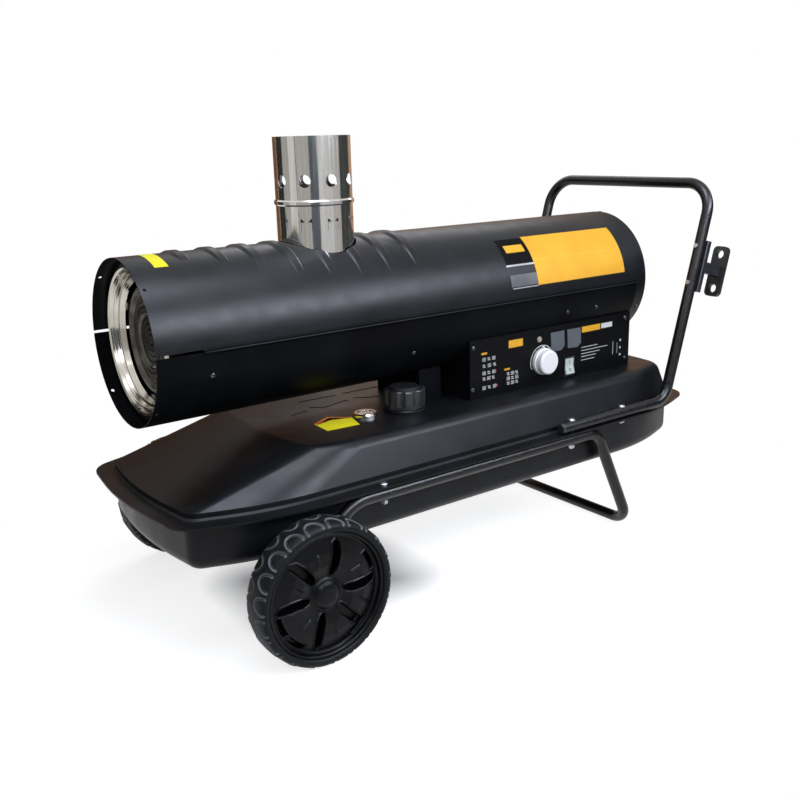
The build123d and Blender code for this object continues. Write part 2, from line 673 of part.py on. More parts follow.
def gauge_body():
    """Fuel gauge: chrome ring on the tank, cup through it, and the bracket of the float arm."""
    ring = rod_z(GAUGE_R, TANK_TOP_Z, TANK_TOP_Z + GAUGE_H, GAUGE_X, GAUGE_Y)
    ring = chamfer(ring.edges().group_by(Axis.Z)[-1], 1.8)
    ring -= rod_z(GAUGE_FACE_R - 1.5, TANK_TOP_Z - 12, TANK_TOP_Z + GAUGE_H + 1, GAUGE_X, GAUGE_Y)
    cup = rod_z(GAUGE_FACE_R, TANK_TOP_Z - 16, TANK_TOP_Z, GAUGE_X, GAUGE_Y)
    cup -= rod_z(GAUGE_FACE_R - 1.5, TANK_TOP_Z - 1.5, TANK_TOP_Z + 1, GAUGE_X, GAUGE_Y)
    body = ring + cup
    stem_z = TANK_TOP_Z - 40
    for dy in (-5, 5):
        y = GAUGE_Y + dy
        body += block(GAUGE_X - 5, GAUGE_X + 5, y - 1.5, y + 1.5, stem_z - 5, TANK_TOP_Z - 16)
    body -= rod_z(1.6, TANK_TOP_Z - 8, TANK_TOP_Z, GAUGE_X, GAUGE_Y)
    return body - rod_y(2.05, GAUGE_Y - 10, GAUGE_Y + 10, GAUGE_X, stem_z)


def gauge_lens():
    """Clear window of the gauge."""
    z = TANK_TOP_Z + GAUGE_H - 3
    return rod_z(GAUGE_FACE_R - 1.7, z, z + 1.6, GAUGE_X, GAUGE_Y)


def gauge_pointer():
    """Pointer on its spindle."""
    z = TANK_TOP_Z + 1.0
    hub = rod_z(2.6, z, z + 1.4, GAUGE_X, GAUGE_Y)
    hand = block(GAUGE_X - 4, GAUGE_X + 11.5, GAUGE_Y - 0.8, GAUGE_Y + 0.8, z, z + 1.0)
    return hub + hand + rod_z(1.5, TANK_TOP_Z - 7, z, GAUGE_X, GAUGE_Y)


def float_arm():
    """Float on a wire arm that swings on its pin below the gauge."""
    z = TANK_TOP_Z - 40
    pin = rod_y(2.0, GAUGE_Y - 6.5, GAUGE_Y + 6.5, GAUGE_X, z)
    eye = rod_y(4.5, GAUGE_Y - 3, GAUGE_Y + 3, GAUGE_X, z)
    arm = rod_x(1.6, GAUGE_X - FLOAT_REACH, GAUGE_X, GAUGE_Y, z)
    ball = rod_x(13.0, GAUGE_X - FLOAT_REACH - 16, GAUGE_X - FLOAT_REACH + 16, GAUGE_Y, z)
    return pin + eye + arm + chamfer(ball.edges(), 4)


def axle_rise():
    """Unit direction from the axle up the leg tube, in X and Z."""
    dx = FRONT_BEND_X - WHEEL_X
    dz = leg_tube_z() - WHEEL_R
    length = math.hypot(dx, dz)
    return dx / length, dz / length


def leg_tube_z():
    """Centre height of the leg frame under the rim flange."""
    return TANK_RIM_Z - TANK_WALL - TUBE_R - SEAT


def leg_frame():
    """Undercarriage tube: drilled for the axle, along under the rim, down to the foot and across."""
    ux, uz = axle_rise()
    z = leg_tube_z()
    side = [
        (WHEEL_X - 16 * ux, WHEEL_R - 16 * uz), (FRONT_BEND_X, z), (REAR_BEND_X, z), (FOOT_X, TUBE_R)]
    pts = [(x, -TUBE_Y, h) for x, h in side] + [(x, TUBE_Y, h) for x, h in reversed(side)]
    tube = bent_tube(pts, [60.0, BEND_R, BEND_R, BEND_R, BEND_R, 60.0])
    for side in (NEAR, FAR):
        y = side * TUBE_Y
        tube -= rod_y(AXLE_R + 0.2, y - 20, y + 20, WHEEL_X, WHEEL_R)
        for x in (HANDLE_BOLT_X[0], FRAME_BOLT_X):
            tube -= rod_z(BOLT_R + BOLT_FIT, z - 20, z + 20, x, y)
    return tube


def handle_z():
    """Centre height of the handle's lower runs on the rim flange."""
    return TANK_RIM_Z + TANK_WALL + TUBE_R + SEAT


def handle():
    """Push handle: runs along the rim on both sides, up behind the barrel and across."""
    z = handle_z()
    near = [(HANDLE_START_X, -TUBE_Y, z), (HANDLE_LOW_X, -TUBE_Y, z), (HANDLE_TOP_X, -TUBE_Y, HANDLE_TOP_Z)]
    far = [(x, -y, h) for x, y, h in reversed(near)]
    tube = bent_tube(near + far, [BEND_R, HANDLE_TOP_R, HANDLE_TOP_R, BEND_R])
    for side in (NEAR, FAR):
        for x in HANDLE_BOLT_X:
            tube -= rod_z(BOLT_R + BOLT_FIT, z - 20, z + 20, x, side * TUBE_Y)
    for plane in hook_screw_places():
        tube -= plane * Cylinder(SCREW_R + SCREW_FIT, 40)
    return tube


def bolt(x, y, top, bottom):
    """Round-head bolt with its nut; the shank, which is hidden, has six sides."""
    head = rod_z(6.0, top + 0.1, top + 3.6, x, y)
    head = chamfer(head.edges().group_by(Axis.Z)[-1], 1.4)
    nut = hex_z(10, bottom - 5.1, bottom - 0.1, x, y)
    return head + hex_z(BOLT_R * math.sqrt(3), bottom - 7, top + 0.2, x, y) + nut


def tube_bolts():
    """Bolts through the rim flange: the handle alone, handle with leg frame, leg frame alone."""
    out = []
    for side in (NEAR, FAR):
        y = side * TUBE_Y
        out.append(bolt(HANDLE_BOLT_X[0], y, handle_z() + TUBE_R, leg_tube_z() - TUBE_R))
        out.append(bolt(HANDLE_BOLT_X[1], y, handle_z() + TUBE_R, TANK_RIM_Z - TANK_WALL))
        out.append(bolt(FRAME_BOLT_X, y, TANK_RIM_Z + TANK_WALL, leg_tube_z() - TUBE_R))
    return out


def tube_end_plugs():
    """Domed plastic plugs in the handle's open ends."""
    out = []
    for side in (NEAR, FAR):
        y = side * TUBE_Y
        dome = rod_x(TUBE_R, HANDLE_START_X - 5, HANDLE_START_X, y, handle_z())
        dome = chamfer(dome.edges().group_by(Axis.X)[0], 2.5)
        stem_r = TUBE_R - TUBE_WALL - 0.1
        out.append(dome + rod_x(stem_r, HANDLE_START_X, HANDLE_START_X + 12, y, handle_z()))
    return out


def leg_angle():
    """Backward lean of the handle's legs from upright."""
    return math.degrees(math.atan2(HANDLE_TOP_X - HANDLE_LOW_X, HANDLE_TOP_Z - handle_z()))


def hook_plane():
    """Plane on the near leg's centre line: x square to the leg towards the rear, z up the leg."""
    t = (HOOK_Z - handle_z()) / (HANDLE_TOP_Z - handle_z())
    x = HANDLE_LOW_X + t * (HANDLE_TOP_X - HANDLE_LOW_X)
    return Pos(x, -TUBE_Y, HOOK_Z) * Rot(0, leg_angle(), 0)


def hook_screw_places():
    """Where the two hook screws cross the leg, as frames whose z lies along the hook's x."""
    return [hook_plane() * Pos(0, 0, s * HOOK_L * 0.36) * Rot(0, 90, 0) for s in (-1, 1)]


def cable_hook():
    """H-shaped cable winder: a bar along the leg, a middle arm and an outer bar with two eyes."""
    x0 = TUBE_R + SEAT
    inner = Pos(x0 + 6, 0, 0) * Box(12, 20, HOOK_L)
    inner = fillet(inner.edges().filter_by(Axis.Z), 3)
    arm = Pos(x0 + 12 + HOOK_GAP / 2, 0, 0) * Box(HOOK_GAP, 14, 20)
    outer = Pos(x0 + 12 + HOOK_GAP + HOOK_T / 2, 0, 0) * Box(HOOK_T, HOOK_W, HOOK_L)
    outer = fillet(outer.edges().filter_by(Axis.X), 9)
    eye = Rot(0, 90, 0) * Cylinder(HOOK_HOLE_R, 40)
    for s in (-1, 1):
        outer -= Pos(x0 + 12 + HOOK_GAP, 0, s * (HOOK_L / 2 - 15)) * eye
    hook = hook_plane() * (inner + arm + outer)
    for plane in hook_screw_places():
        hook -= plane * Pos(0, 0, x0 + 6) * Cylinder(SCREW_R, 14)
    return hook


def hook_screws():
    """Two screws through the leg into the hook."""
    turned = Pos(0, 0, -TUBE_R) * Rot(180, 0, 0) * screw(2 * TUBE_R + 8)
    return [plane * turned for plane in hook_screw_places()]


def axle():
    """Steel axle through both drilled legs."""
    end = WHEEL_FACE_Y - 6
    return rod_y(AXLE_R, -end, end, WHEEL_X, WHEEL_R)


def axle_ring(side, r, bore, y0, y1):
    """Flat ring on the axle between two distances from the middle."""
    lo, hi = min(side * y0, side * y1), max(side * y0, side * y1)
    return rod_y(r, lo, hi, WHEEL_X, WHEEL_R) - rod_y(bore, lo - 1, hi + 1, WHEEL_X, WHEEL_R)


def axle_washers():
    """Washers between each wheel hub and its leg tube."""
    y0 = TUBE_Y + TUBE_R + SEAT
    y1 = WHEEL_FACE_Y - WHEEL_W - HUB_BOSS - SEAT
    return [axle_ring(side, 13.0, AXLE_R + 0.1, y0, y1) for side in (NEAR, FAR)]


def axle_retainers():
    """Push-on retainers outside each hub, under the hub caps."""
    y0, y1 = WHEEL_FACE_Y - 12.7, WHEEL_FACE_Y - 11.2
    return [axle_ring(side, 12.0, AXLE_R + 0.02, y0, y1) for side in (NEAR, FAR)]


def spin_y(points):
    """Solid of revolution about the axle, from (depth, radius) points; depth runs in from the face."""
    face = Plane.YZ * Polygon(*[(-WHEEL_FACE_Y + d, WHEEL_R + r) for d, r in points], align=None)
    return Pos(WHEEL_X, 0, 0) * revolve(face, Axis((0, 0, WHEEL_R), (0, 1, 0)))


def hub_slot(turn):
    """Cutter for one leaf-shaped slot between two petals of the hub."""
    r0, r1 = SLOT_R0, SLOT_R1
    leaf = Polyline(
        (r0, 0), (r0 + 8, -4.0), (r0 + 30, -4.7), (r1 - 4, -3.0), (r1, 2.0), (r1 - 4, 5.0), (r0 + 30, 4.7),
        (r0 + 6, 3.0), close=True)
    return hub_cutter(make_face(leaf), turn)


def rim_slot(turn):
    """Cutter for one short curved slot between a petal's tip and the rim."""
    ring = Circle(SLOT_R1 - 3.0) - Circle(SLOT_R1 - 8.0)
    wedge = make_face(Polyline((0, 0), (120, -22), (120, 22), close=True))
    return hub_cutter(ring & wedge, turn)


def hub_cutter(outline, turn):
    """Extrude a wheel-plane outline through the hub, turned to its place."""
    placed = Plane.XZ * (Rot(0, 0, turn) * outline)
    return Pos(WHEEL_X, -WHEEL_FACE_Y + WHEEL_W, WHEEL_R) * extrude(placed, WHEEL_W + 10, dir=(0, -1, 0))


def wheel_hub():
    """Moulded hub: tyre seat, domed web of petals parted by deep slots, bored boss."""
    d = WHEEL_W
    face = [(4, RIM_R), (4, RIM_R - 3.5), (12, RIM_R - 6), (12.5, RIM_R - 9), (7, 62), (7, 44), (11.5, 26)]
    socket = [(8.5, HUB_R + 2), (8.5, HUB_R), (13, HUB_R - 1.5), (13, 0)]
    boss = [(d + HUB_BOSS, 0), (d + HUB_BOSS, HUB_R), (WEB_BACK, HUB_R)]
    rear = [(WEB_BACK, RIM_R - 12), (d - 4, RIM_R - 6), (d - 4, RIM_R)]
    body = spin_y(face + socket + boss + rear)
    for turn in HUB_SLOT_AT:
        body -= hub_slot(turn)
    for turn in RIM_SLOT_AT:
        body -= rim_slot(turn)
    return body - rod_y(AXLE_R + AXLE_FIT, -WHEEL_FACE_Y - 5, -WHEEL_FACE_Y + d + 5, WHEEL_X, WHEEL_R)


def tyre():
    """Solid rubber tyre with rounded shoulders."""
    d = WHEEL_W
    half = [(4, RIM_R), (1.5, RIM_R + 1.5), (0, RIM_R + 5)]
    half += [(0.8, WHEEL_R - 7), (4, WHEEL_R - 2.6), (14, WHEEL_R)]
    return spin_y(half + [(d - depth, r) for depth, r in reversed(half)])


def hub_cap():
    """Push-in cap over the axle end."""
    dome = [(2.5, 0), (3, 11), (4.6, 17), (8.2, HUB_R - 0.2), (8.2, HUB_R - 1.6)]
    tail = [(10.6, HUB_R - 1.8), (10.6, HUB_R - 3.4), (7, HUB_R - 4.6), (4.8, 0)]
    return spin_y(dome + tail)


def far_side(piece):
    """Same piece on the far side."""
    return mirror(piece, about=Plane.XZ)


def box_cut():
    """Cutter that follows the casing where the control box meets it."""
    return rod_x(BARREL_R + SEAT, BOX_X0 - 200, BOX_X1 + 50)


def control_box():
    """Sheet box between tank and barrel, open where the panel closes it."""
    y, w = BOX_HALF_W, BOX_SHEET
    shell = block(BOX_X0, BOX_X1, -y, y, TANK_TOP_Z, BOX_TOP_Z)
    shell -= block(BOX_X0 + w, BOX_X1 - w, -y + w, y - w, TANK_TOP_Z + w, BOX_TOP_Z + 1)
    shell -= block(BOX_X0 + 14, BOX_X1 - 14, -y - 1, -y + 5, TANK_TOP_Z + BOX_LIP, BOX_TOP_Z - 12)
    shell -= box_cut() + rod_x(GLAND_R + 0.3, BOX_X1 - 5, BOX_X1 + 5, GLAND_Y, GLAND_Z)
    shell -= rod_z(PICKUP_R + 0.5, TANK_TOP_Z - 1, TANK_TOP_Z + 4, PICKUP_X, PICKUP_Y)
    for x, z in PANEL_SCREWS:
        shell -= rod_y(SCREW_R + SCREW_FIT, -y - 1, -y + 3, x, z)
    return shell


def gland_rod(r, x0, x1):
    """Cylinder on the cable gland's axis, from the box's rear wall."""
    return rod_x(r, BOX_X1 + x0, BOX_X1 + x1, GLAND_Y, GLAND_Z)


def cord_gland():
    """Cable gland in the rear wall of the control box; its bore is where a supply cord enters."""
    body = gland_rod(GLAND_R, -4, 3)
    nut = gland_rod(12.0, 0.1, 7)
    nose = gland_rod(9.0, 7, 14)
    inner = gland_rod(11.0, -BOX_SHEET - 4, -BOX_SHEET - 0.1)
    return body + nut + nose + inner - gland_rod(CORD_R, -10, 20)


def panel_face():
    """Outer face of the control panel."""
    return -BOX_HALF_W - PANEL_T


def panel_hole(r, x, z):
    """Cutter through the panel."""
    return rod_y(r, panel_face() - 5, -BOX_HALF_W + 5, x, z)


def control_panel():
    """Control panel plate with its openings."""
    z0, z1 = TANK_TOP_Z + PANEL_FIT, BOX_TOP_Z - PANEL_FIT
    plate = block(BOX_X0, BOX_X1, panel_face(), -BOX_HALF_W, z0, z1)
    plate -= panel_hole(KNOB_STEM_R + 0.5, KNOB_X, KNOB_Z) + panel_hole(LAMP_R, LAMP_X, LAMP_Z)
    w, h = switch_body_half()
    plate -= switch_block(w + 0.3, h + 0.3, -1, 4)
    for x, z in PANEL_SCREWS:
        plate -= panel_hole(SCREW_R + SCREW_FIT, x, z)
    return plate - box_cut()


def panel_screws():
    """Corner screws of the control panel."""
    f = panel_face()
    return [Plane((x, f, z), z_dir=(0, -1, 0)) * screw(PANEL_T + 0.9) for x, z in PANEL_SCREWS]


def knob_dial():
    """Scale ring of the thermostat round the knob."""
    f = panel_face()
    ring = rod_y(KNOB_R + 5.5, f - DIAL_T, f, KNOB_X, KNOB_Z)
    return ring - rod_y(KNOB_STEM_R + 0.5, f - 2, f + 1, KNOB_X, KNOB_Z)


def thermostat_knob():
    """Round knob with its pointer and its stem."""
    back = panel_face() - DIAL_T - 0.6
    disc = rod_y(KNOB_R, back - 6, back, KNOB_X, KNOB_Z)
    dome = rod_y(KNOB_R - 2, back - KNOB_H, back - 5, KNOB_X, KNOB_Z)
    dome = fillet(dome.edges().group_by(Axis.Y)[0], 4)
    mark = block(KNOB_X - 1.5, KNOB_X + 1.5, back - 4, back, KNOB_Z + KNOB_R - 2, KNOB_Z + KNOB_R + 3)
    stem = rod_y(KNOB_STEM_R, back - 1, panel_face() + PANEL_T + 14, KNOB_X, KNOB_Z)
    return disc + dome + mark + stem


def thermostat():
    """Room thermostat body behind the panel, holding the knob's stem."""
    y0 = panel_face() + PANEL_T + 0.1
    body = block(KNOB_X - 16, KNOB_X + 16, y0, y0 + 22, KNOB_Z - 18, KNOB_Z + 18)
    return body - rod_y(KNOB_STEM_R + RUN_FIT, y0 - 1, y0 + 16, KNOB_X, KNOB_Z)


def power_lamp():
    """Signal lamp through the panel."""
    f = panel_face()
    lens = rod_y(LAMP_R + 1.2, f - 2.6, f - 0.05, LAMP_X, LAMP_Z)
    lens = chamfer(lens.edges().group_by(Axis.Y)[0], 1.0)
    return lens + rod_y(LAMP_R - 0.2, f - 0.1, f + PANEL_T + 12, LAMP_X, LAMP_Z)


def switch_well_half():
    """Half width and half height of the opening in which the rocker tips."""
    tip = math.radians(ROCKER_TIP)
    reach = ROCKER_H / 2 * math.cos(tip) + ROCKER_OUT * math.sin(tip)
    return ROCKER_W / 2 + ROCKER_FIT, reach + ROCKER_FIT


def switch_body_half():
    """Half width and half height of the switch's body behind the panel."""
    w, h = switch_well_half()
    return w + 1.6, h + 1.6


def switch_block(w, h, y0, y1):
    """Block on the switch's centre, placed in depth from the panel's face."""
    f = panel_face()
    return block(ROCKER_X - w, ROCKER_X + w, f + y0, f + y1, ROCKER_Z - h, ROCKER_Z + h)


def rocker_frame():
    """Frame and body of the mains switch, with the rocker's pivot pins."""
    w, h = switch_well_half()
    rim = switch_block(w + ROCKER_RIM, h + ROCKER_RIM, -2.0, -0.05)
    body = switch_block(*switch_body_half(), -0.1, 22)
    frame = rim + body - switch_block(w, h, -3, 14)
    y = panel_face() + ROCKER_SET
    for start in (ROCKER_X - w - 0.8, ROCKER_X + w - 1.8):
        frame += rod_x(PIN_R, start, start + 2.6, y, ROCKER_Z)
    return frame


def rocker():
    """Rocker: a shallow V of two faces, pivoted on the frame's pins."""
    w, h = ROCKER_W / 2, ROCKER_H / 2
    y = panel_face() + ROCKER_SET
    front = y - ROCKER_OUT
    face = Plane.YZ * Polygon(
        (front, ROCKER_Z - h), (front + 2.4, ROCKER_Z), (front, ROCKER_Z + h), (y - 1, ROCKER_Z + h),
        (y + 4, ROCKER_Z + 3), (y + 4, ROCKER_Z - 3), (y - 1, ROCKER_Z - h), align=None)
    paddle = Pos(ROCKER_X - w, 0, 0) * extrude(face, 2 * w, dir=(1, 0, 0))
    paddle -= rod_x(PIN_R + RUN_FIT, ROCKER_X - w - 1, ROCKER_X + w + 1, y, ROCKER_Z)
    return paddle.rotate(Axis((0, y, ROCKER_Z), (1, 0, 0)), -ROCKER_TIP)


def front_support():
    """Saddle between tank and barrel, ahead of the control box."""
    x0, x1 = SADDLE_X, SADDLE_X + SADDLE_L
    y, z = SADDLE_HALF_W, TANK_TOP_Z
    top = z + BARREL_LIFT + 29
    shape = block(x0, x1, -y, y, z, top) - block(x0 - 1, x1 + 1, -y + 2, y - 2, z + 2, top + 10)
    middle = (x0 + x1) / 2
    return shape + block(middle - 1, middle + 1, -y, y, z, top) - box_cut()


def burner_head():
    """Burner tube in the chamber's rear with its flange, air diffuser and drilled back plate."""
    x0 = EXCH_REAR_X
    x1 = x0 + BURNER_L
    tube = pipe_x(BURNER_R, 2.0, x0 - 30, x1)
    flange = pipe_x(BURNER_R + 14, 16.0, x0 + 0.1, x0 + 3)
    diffuser = rod_x(BURNER_R - 1, x0 - 20, x0 - 18) - rod_x(13, x0 - 21, x0 - 17)
    for i in range(6):
        diffuser -= Pos(x0 - 19, 0, AXIS_Z) * Rot(60 * i, 0, 0) * Pos(0, 0, 26) * Box(6, 4, 16)
    back = rod_x(BURNER_R, x1 - 2, x1) - rod_x(NOZZLE_R + 0.3, x0, x1 + 1)
    for side in (-1, 1):
        back -= rod_x(ELECTRODE_R + 0.3, x0 + 40, x1 + 5, side * ELECTRODE_Y, ELECTRODE_Z)
    back -= rod_x(PHOTOCELL_R + 0.3, x0 + 40, x1 + 5, 0, PHOTOCELL_Z)
    return tube + flange + diffuser + back


def nozzle_holder():
    """Nozzle and its holder on the burner's axis."""
    x0 = EXCH_REAR_X
    holder = rod_x(NOZZLE_R, x0 - 14, x0 + BURNER_L + PUMP_GAP - 0.1)
    return holder + spin_x([(x0 - 26, 0), (x0 - 26, 3), (x0 - 22, 6), (x0 - 14, 7), (x0 - 14, 0)])


def electrodes():
    """Pair of ignition electrodes through the burner's back plate."""
    x1 = EXCH_REAR_X + BURNER_L + 8
    return [rod_x(ELECTRODE_R, EXCH_REAR_X - 12, x1, side * ELECTRODE_Y, ELECTRODE_Z) for side in (-1, 1)]


def photocell():
    """Flame sensor in the burner's back plate."""
    x1 = EXCH_REAR_X + BURNER_L
    barrel = rod_x(PHOTOCELL_R, x1 - 14, x1 + 9, 0, PHOTOCELL_Z)
    return barrel + rod_x(PHOTOCELL_R + 2, x1 + 0.2, x1 + 12, 0, PHOTOCELL_Z)


def pump_x0():
    """Front face of the fuel pump."""
    return EXCH_REAR_X + BURNER_L + PUMP_GAP


def fuel_pump():
    """Gear pump on the motor's front end, driven by the shaft."""
    x0 = pump_x0()
    body = block(x0, x0 + PUMP_L, -PUMP_W / 2, PUMP_W / 2, AXIS_Z - PUMP_W / 2, AXIS_Z + PUMP_W / 2)
    body = fillet(body.edges().filter_by(Axis.X), 8)
    neck = rod_x(20, x0 + PUMP_L, MOTOR_X0 - 0.2)
    body += neck - rod_x(SHAFT_R + 1.5, x0 + 20, MOTOR_X0 + 1)
    body -= rod_x(SHAFT_R + RUN_FIT, x0 + 20, MOTOR_X0)
    port = rod_z(8, AXIS_Z + PUMP_W / 2, AXIS_Z + PUMP_W / 2 + 8, x0 + 22, 0)
    inlet = rod_z(6, AXIS_Z - PUMP_W / 2 - 8, AXIS_Z - PUMP_W / 2, x0 + 22, 20)
    return body + port + inlet


def motor():
    """Motor housing with end caps, bored for the shaft."""
    x0, x1 = MOTOR_X0, MOTOR_X0 + MOTOR_L
    half = [(0, 0), (0, 32), (5, MOTOR_R - 3), (12, MOTOR_R)]
    can = spin_x([(x0 + d, r) for d, r in half] + [(x1 - d, r) for d, r in reversed(half)])
    return can - rod_x(SHAFT_R + RUN_FIT, x0 - 1, x1 + 1)


def motor_bracket():
    """Clamp ring round the motor on three arms that reach the casing."""
    x0 = MOTOR_X0 + 36
    x1 = x0 + 26
    middle = (x0 + x1) / 2
    reach = BARREL_R - SHEET
    out = pipe_x(MOTOR_R + 6, 6 - 0.1, x0, x1)
    for deg in (90, 210, 330):
        out += bracket(middle, deg, 26, 10, MOTOR_R + 3, reach)
        out += bracket(middle, deg, 26, 34, reach - 4, reach)
    return out


def fan_blade(index):
    """One twisted blade, lofted from a steep root to a flatter tip."""
    sections = []
    for r, chord, pitch in ((FAN_HUB_R - 3, 34, 48), (66, 46, 34), (FAN_R, 50, 24)):
        a = math.radians(pitch)
        u = (math.sin(a), math.cos(a), 0)
        plane = Plane(origin=(0, 0, r), x_dir=u, z_dir=(0, 0, 1))
        sections.append(plane * Rectangle(chord, 2.2))
    blade = loft(sections)
    return Pos(FAN_X, 0, AXIS_Z) * Rot(360 / FAN_BLADES * index, 0, 0) * blade


def fan():
    """Fan with its hub on the motor shaft, which also drives the pump."""
    x0, x1, r = FAN_X - 20, FAN_X + 20, FAN_HUB_R
    hub = spin_x([(x0, 0), (x0, r), (x1 - 6, r), (x1, r - 6), (x1, 0)])
    for i in range(FAN_BLADES):
        hub += fan_blade(i)
    return hub + rod_x(SHAFT_R, pump_x0() + 22, FAN_X)


def ignition_transformer():
    """Ignition transformer on the floor of the control box."""
    z = TANK_TOP_Z + BOX_SHEET + 0.1
    body = block(300, 380, -40, 30, z, z + 38)
    body += block(290, 390, -40, 30, z, z + 3)
    return fillet(body.edges().filter_by(Axis.X).group_by(Axis.Z)[-1], 4)


def control_board():
    """Control board on stand-offs, with its relays."""
    z = TANK_TOP_Z + BOX_SHEET + 0.1
    board = block(140, 270, -30, 60, z + 8, z + 10)
    for x in (146, 264):
        for y in (-24, 54):
            board += rod_z(3, z, z + 8, x, y)
    board += block(150, 180, -20, 0, z + 10, z + 26)
    board += block(190, 220, -20, 0, z + 10, z + 26)
    return board + block(230, 262, 10, 50, z + 10, z + 22)


def fuel_pickup():
    """Suction tube through the tank's top down to near its floor."""
    z1 = TANK_TOP_Z + 20
    tube = rod_z(4, TANK_BOTTOM_Z + 12, z1, PICKUP_X, PICKUP_Y)
    flange = rod_z(PICKUP_R, TANK_TOP_Z - 6, TANK_TOP_Z, PICKUP_X, PICKUP_Y)
    head = hex_z(18, TANK_TOP_Z + BOX_SHEET + 0.1, TANK_TOP_Z + 9, PICKUP_X, PICKUP_Y)
    low = rod_z(PICKUP_R, TANK_TOP_Z - 6, TANK_TOP_Z + BOX_SHEET + 0.2, PICKUP_X, PICKUP_Y)
    bore = rod_z(2.5, TANK_BOTTOM_Z + 8, z1 + 1, PICKUP_X, PICKUP_Y)
    return tube + flange + head + low - bore


def fuel_line():
    """Fuel tube from the filter, through the casing, to the pump's inlet."""
    z0 = FILTER_Z + 26
    x1 = pump_x0() + 22
    z1 = AXIS_Z - PUMP_W / 2
    path = FilletPolyline(
        (PICKUP_X + 5.1, PICKUP_Y, z0), (x1, PICKUP_Y, z0), (x1, PICKUP_Y, z1 - 38), (x1, 20, z1 - 38),
        (x1, 20, z1 - 8.1), radius=[8.0, 8.0, 8.0])
    return sweep(Plane(origin=path @ 0, z_dir=path % 0) * Circle(LINE_R), path=path)


def nozzle_line():
    """Fuel tube from the pump's outlet port to the nozzle holder."""
    z0 = AXIS_Z + PUMP_W / 2 + 8.1
    x1 = pump_x0() + 22
    x0 = EXCH_REAR_X + BURNER_L + 7
    points = [(x1, 0, z0), (x1, 0, z0 + 16), (x0, 0, z0 + 16), (x0, 0, AXIS_Z + NOZZLE_R + 0.1)]
    path = FilletPolyline(*points, radius=[8.0, 8.0])
    return sweep(Plane(origin=path @ 0, z_dir=path % 0) * Circle(THIN_LINE_R), path=path)


def fuel_filter():
    """In-line filter bowl on the pickup, inside the control box."""
    z0 = FILTER_Z
    bowl = rod_z(15, z0 + 3, z0 + 21, PICKUP_X, PICKUP_Y)
    return bowl + rod_z(7, z0, z0 + 3, PICKUP_X, PICKUP_Y) + rod_z(5, z0 + 21, z0 + 30, PICKUP_X, PICKUP_Y)


def main():
    os.makedirs("parts", exist_ok=True)
    write("upper_shell", upper_shell())
    write("lower_shell", lower_shell())
    write("casing_screws", *casing_screws())
    write("rear_cover", rear_cover())
    write("outlet_ring", outlet_ring())
    write("heat_exchanger", heat_exchanger())
    write("combustion_chamber", combustion_chamber())
    write("chamber_brackets", *chamber_brackets())
    write("flue_pipe", flue_pipe())
    write("tank_upper_shell", tank_upper_shell())
    write("tank_lower_shell", tank_lower_shell())
    write("drain_plug", drain_plug())
    write("filler_neck", filler_neck())
    write("filler_strainer", filler_strainer())
    write("filler_cap", filler_cap())
    write("cap_seal", cap_seal())
    write("gauge_body", gauge_body())
    write("gauge_lens", gauge_lens())
    write("gauge_pointer", gauge_pointer())
    write("float_arm", float_arm())
    write("leg_frame", leg_frame())
    write("handle", handle())
    write("tube_bolts", *tube_bolts())
    write("tube_end_plugs", *tube_end_plugs())
    write("cable_hook", cable_hook())
    write("hook_screws", *hook_screws())
    write("axle", axle())
    write("axle_washers", *axle_washers())
    write("axle_retainers", *axle_retainers())
    write("wheel_hub_near", wheel_hub())
    write("tyre_near", tyre())
    write("hub_cap_near", hub_cap())
    write("wheel_hub_far", far_side(wheel_hub()))
    write("tyre_far", far_side(tyre()))
    write("hub_cap_far", far_side(hub_cap()))
    write("control_box", control_box())
    write("control_panel", control_panel())
    write("panel_screws", *panel_screws())
    write("knob_dial", knob_dial())
    write("thermostat_knob", thermostat_knob())
    write("thermostat", thermostat())
    write("power_lamp", power_lamp())
    write("rocker_frame", rocker_frame())
    write("rocker", rocker())
    write("cord_gland", cord_gland())
    write("front_support", front_support())
    write("burner_head", burner_head())
    write("nozzle_holder", nozzle_holder())
    write("electrodes", *electrodes())
    write("photocell", photocell())
    write("fuel_pump", fuel_pump())
    write("motor", motor())
    write("motor_bracket", motor_bracket())
    write("fan", fan())
    write("ignition_transformer", ignition_transformer())
    write("control_board", control_board())
    write("fuel_pickup", fuel_pickup())
    write("fuel_filter", fuel_filter())
    write("fuel_line", fuel_line())
    write("nozzle_line", nozzle_line())


main()
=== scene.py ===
# %% [markdown]
# # An indirect-fired diesel heater
# A black sheet-metal barrel stands on a pressed fuel tank with wheels, a bent-tube frame and a push
# handle. The measured solids come in through the frame. This script gives them their finishes, adds
# the pieces that are worked out as surfaces, such as tyres, labels and screw heads, and lights the
# whole for one picture.

# %% The frame and the box it fills
import json
import math
import bpy
import numpy as np
from mathutils import Matrix, Vector


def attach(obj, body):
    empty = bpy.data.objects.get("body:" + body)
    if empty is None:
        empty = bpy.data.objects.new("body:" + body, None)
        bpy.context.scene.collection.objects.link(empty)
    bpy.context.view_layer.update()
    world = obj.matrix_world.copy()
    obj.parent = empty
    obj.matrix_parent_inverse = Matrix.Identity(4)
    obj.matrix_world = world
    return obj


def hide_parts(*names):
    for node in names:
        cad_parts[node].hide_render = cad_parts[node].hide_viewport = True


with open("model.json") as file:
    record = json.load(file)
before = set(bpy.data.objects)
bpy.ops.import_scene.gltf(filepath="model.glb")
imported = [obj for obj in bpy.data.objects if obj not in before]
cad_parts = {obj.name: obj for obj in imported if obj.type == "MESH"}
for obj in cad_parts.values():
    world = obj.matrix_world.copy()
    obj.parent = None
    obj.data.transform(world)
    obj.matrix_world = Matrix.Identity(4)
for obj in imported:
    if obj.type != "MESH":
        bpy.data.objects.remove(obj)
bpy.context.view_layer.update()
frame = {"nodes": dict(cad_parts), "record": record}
NODES = frame["nodes"]
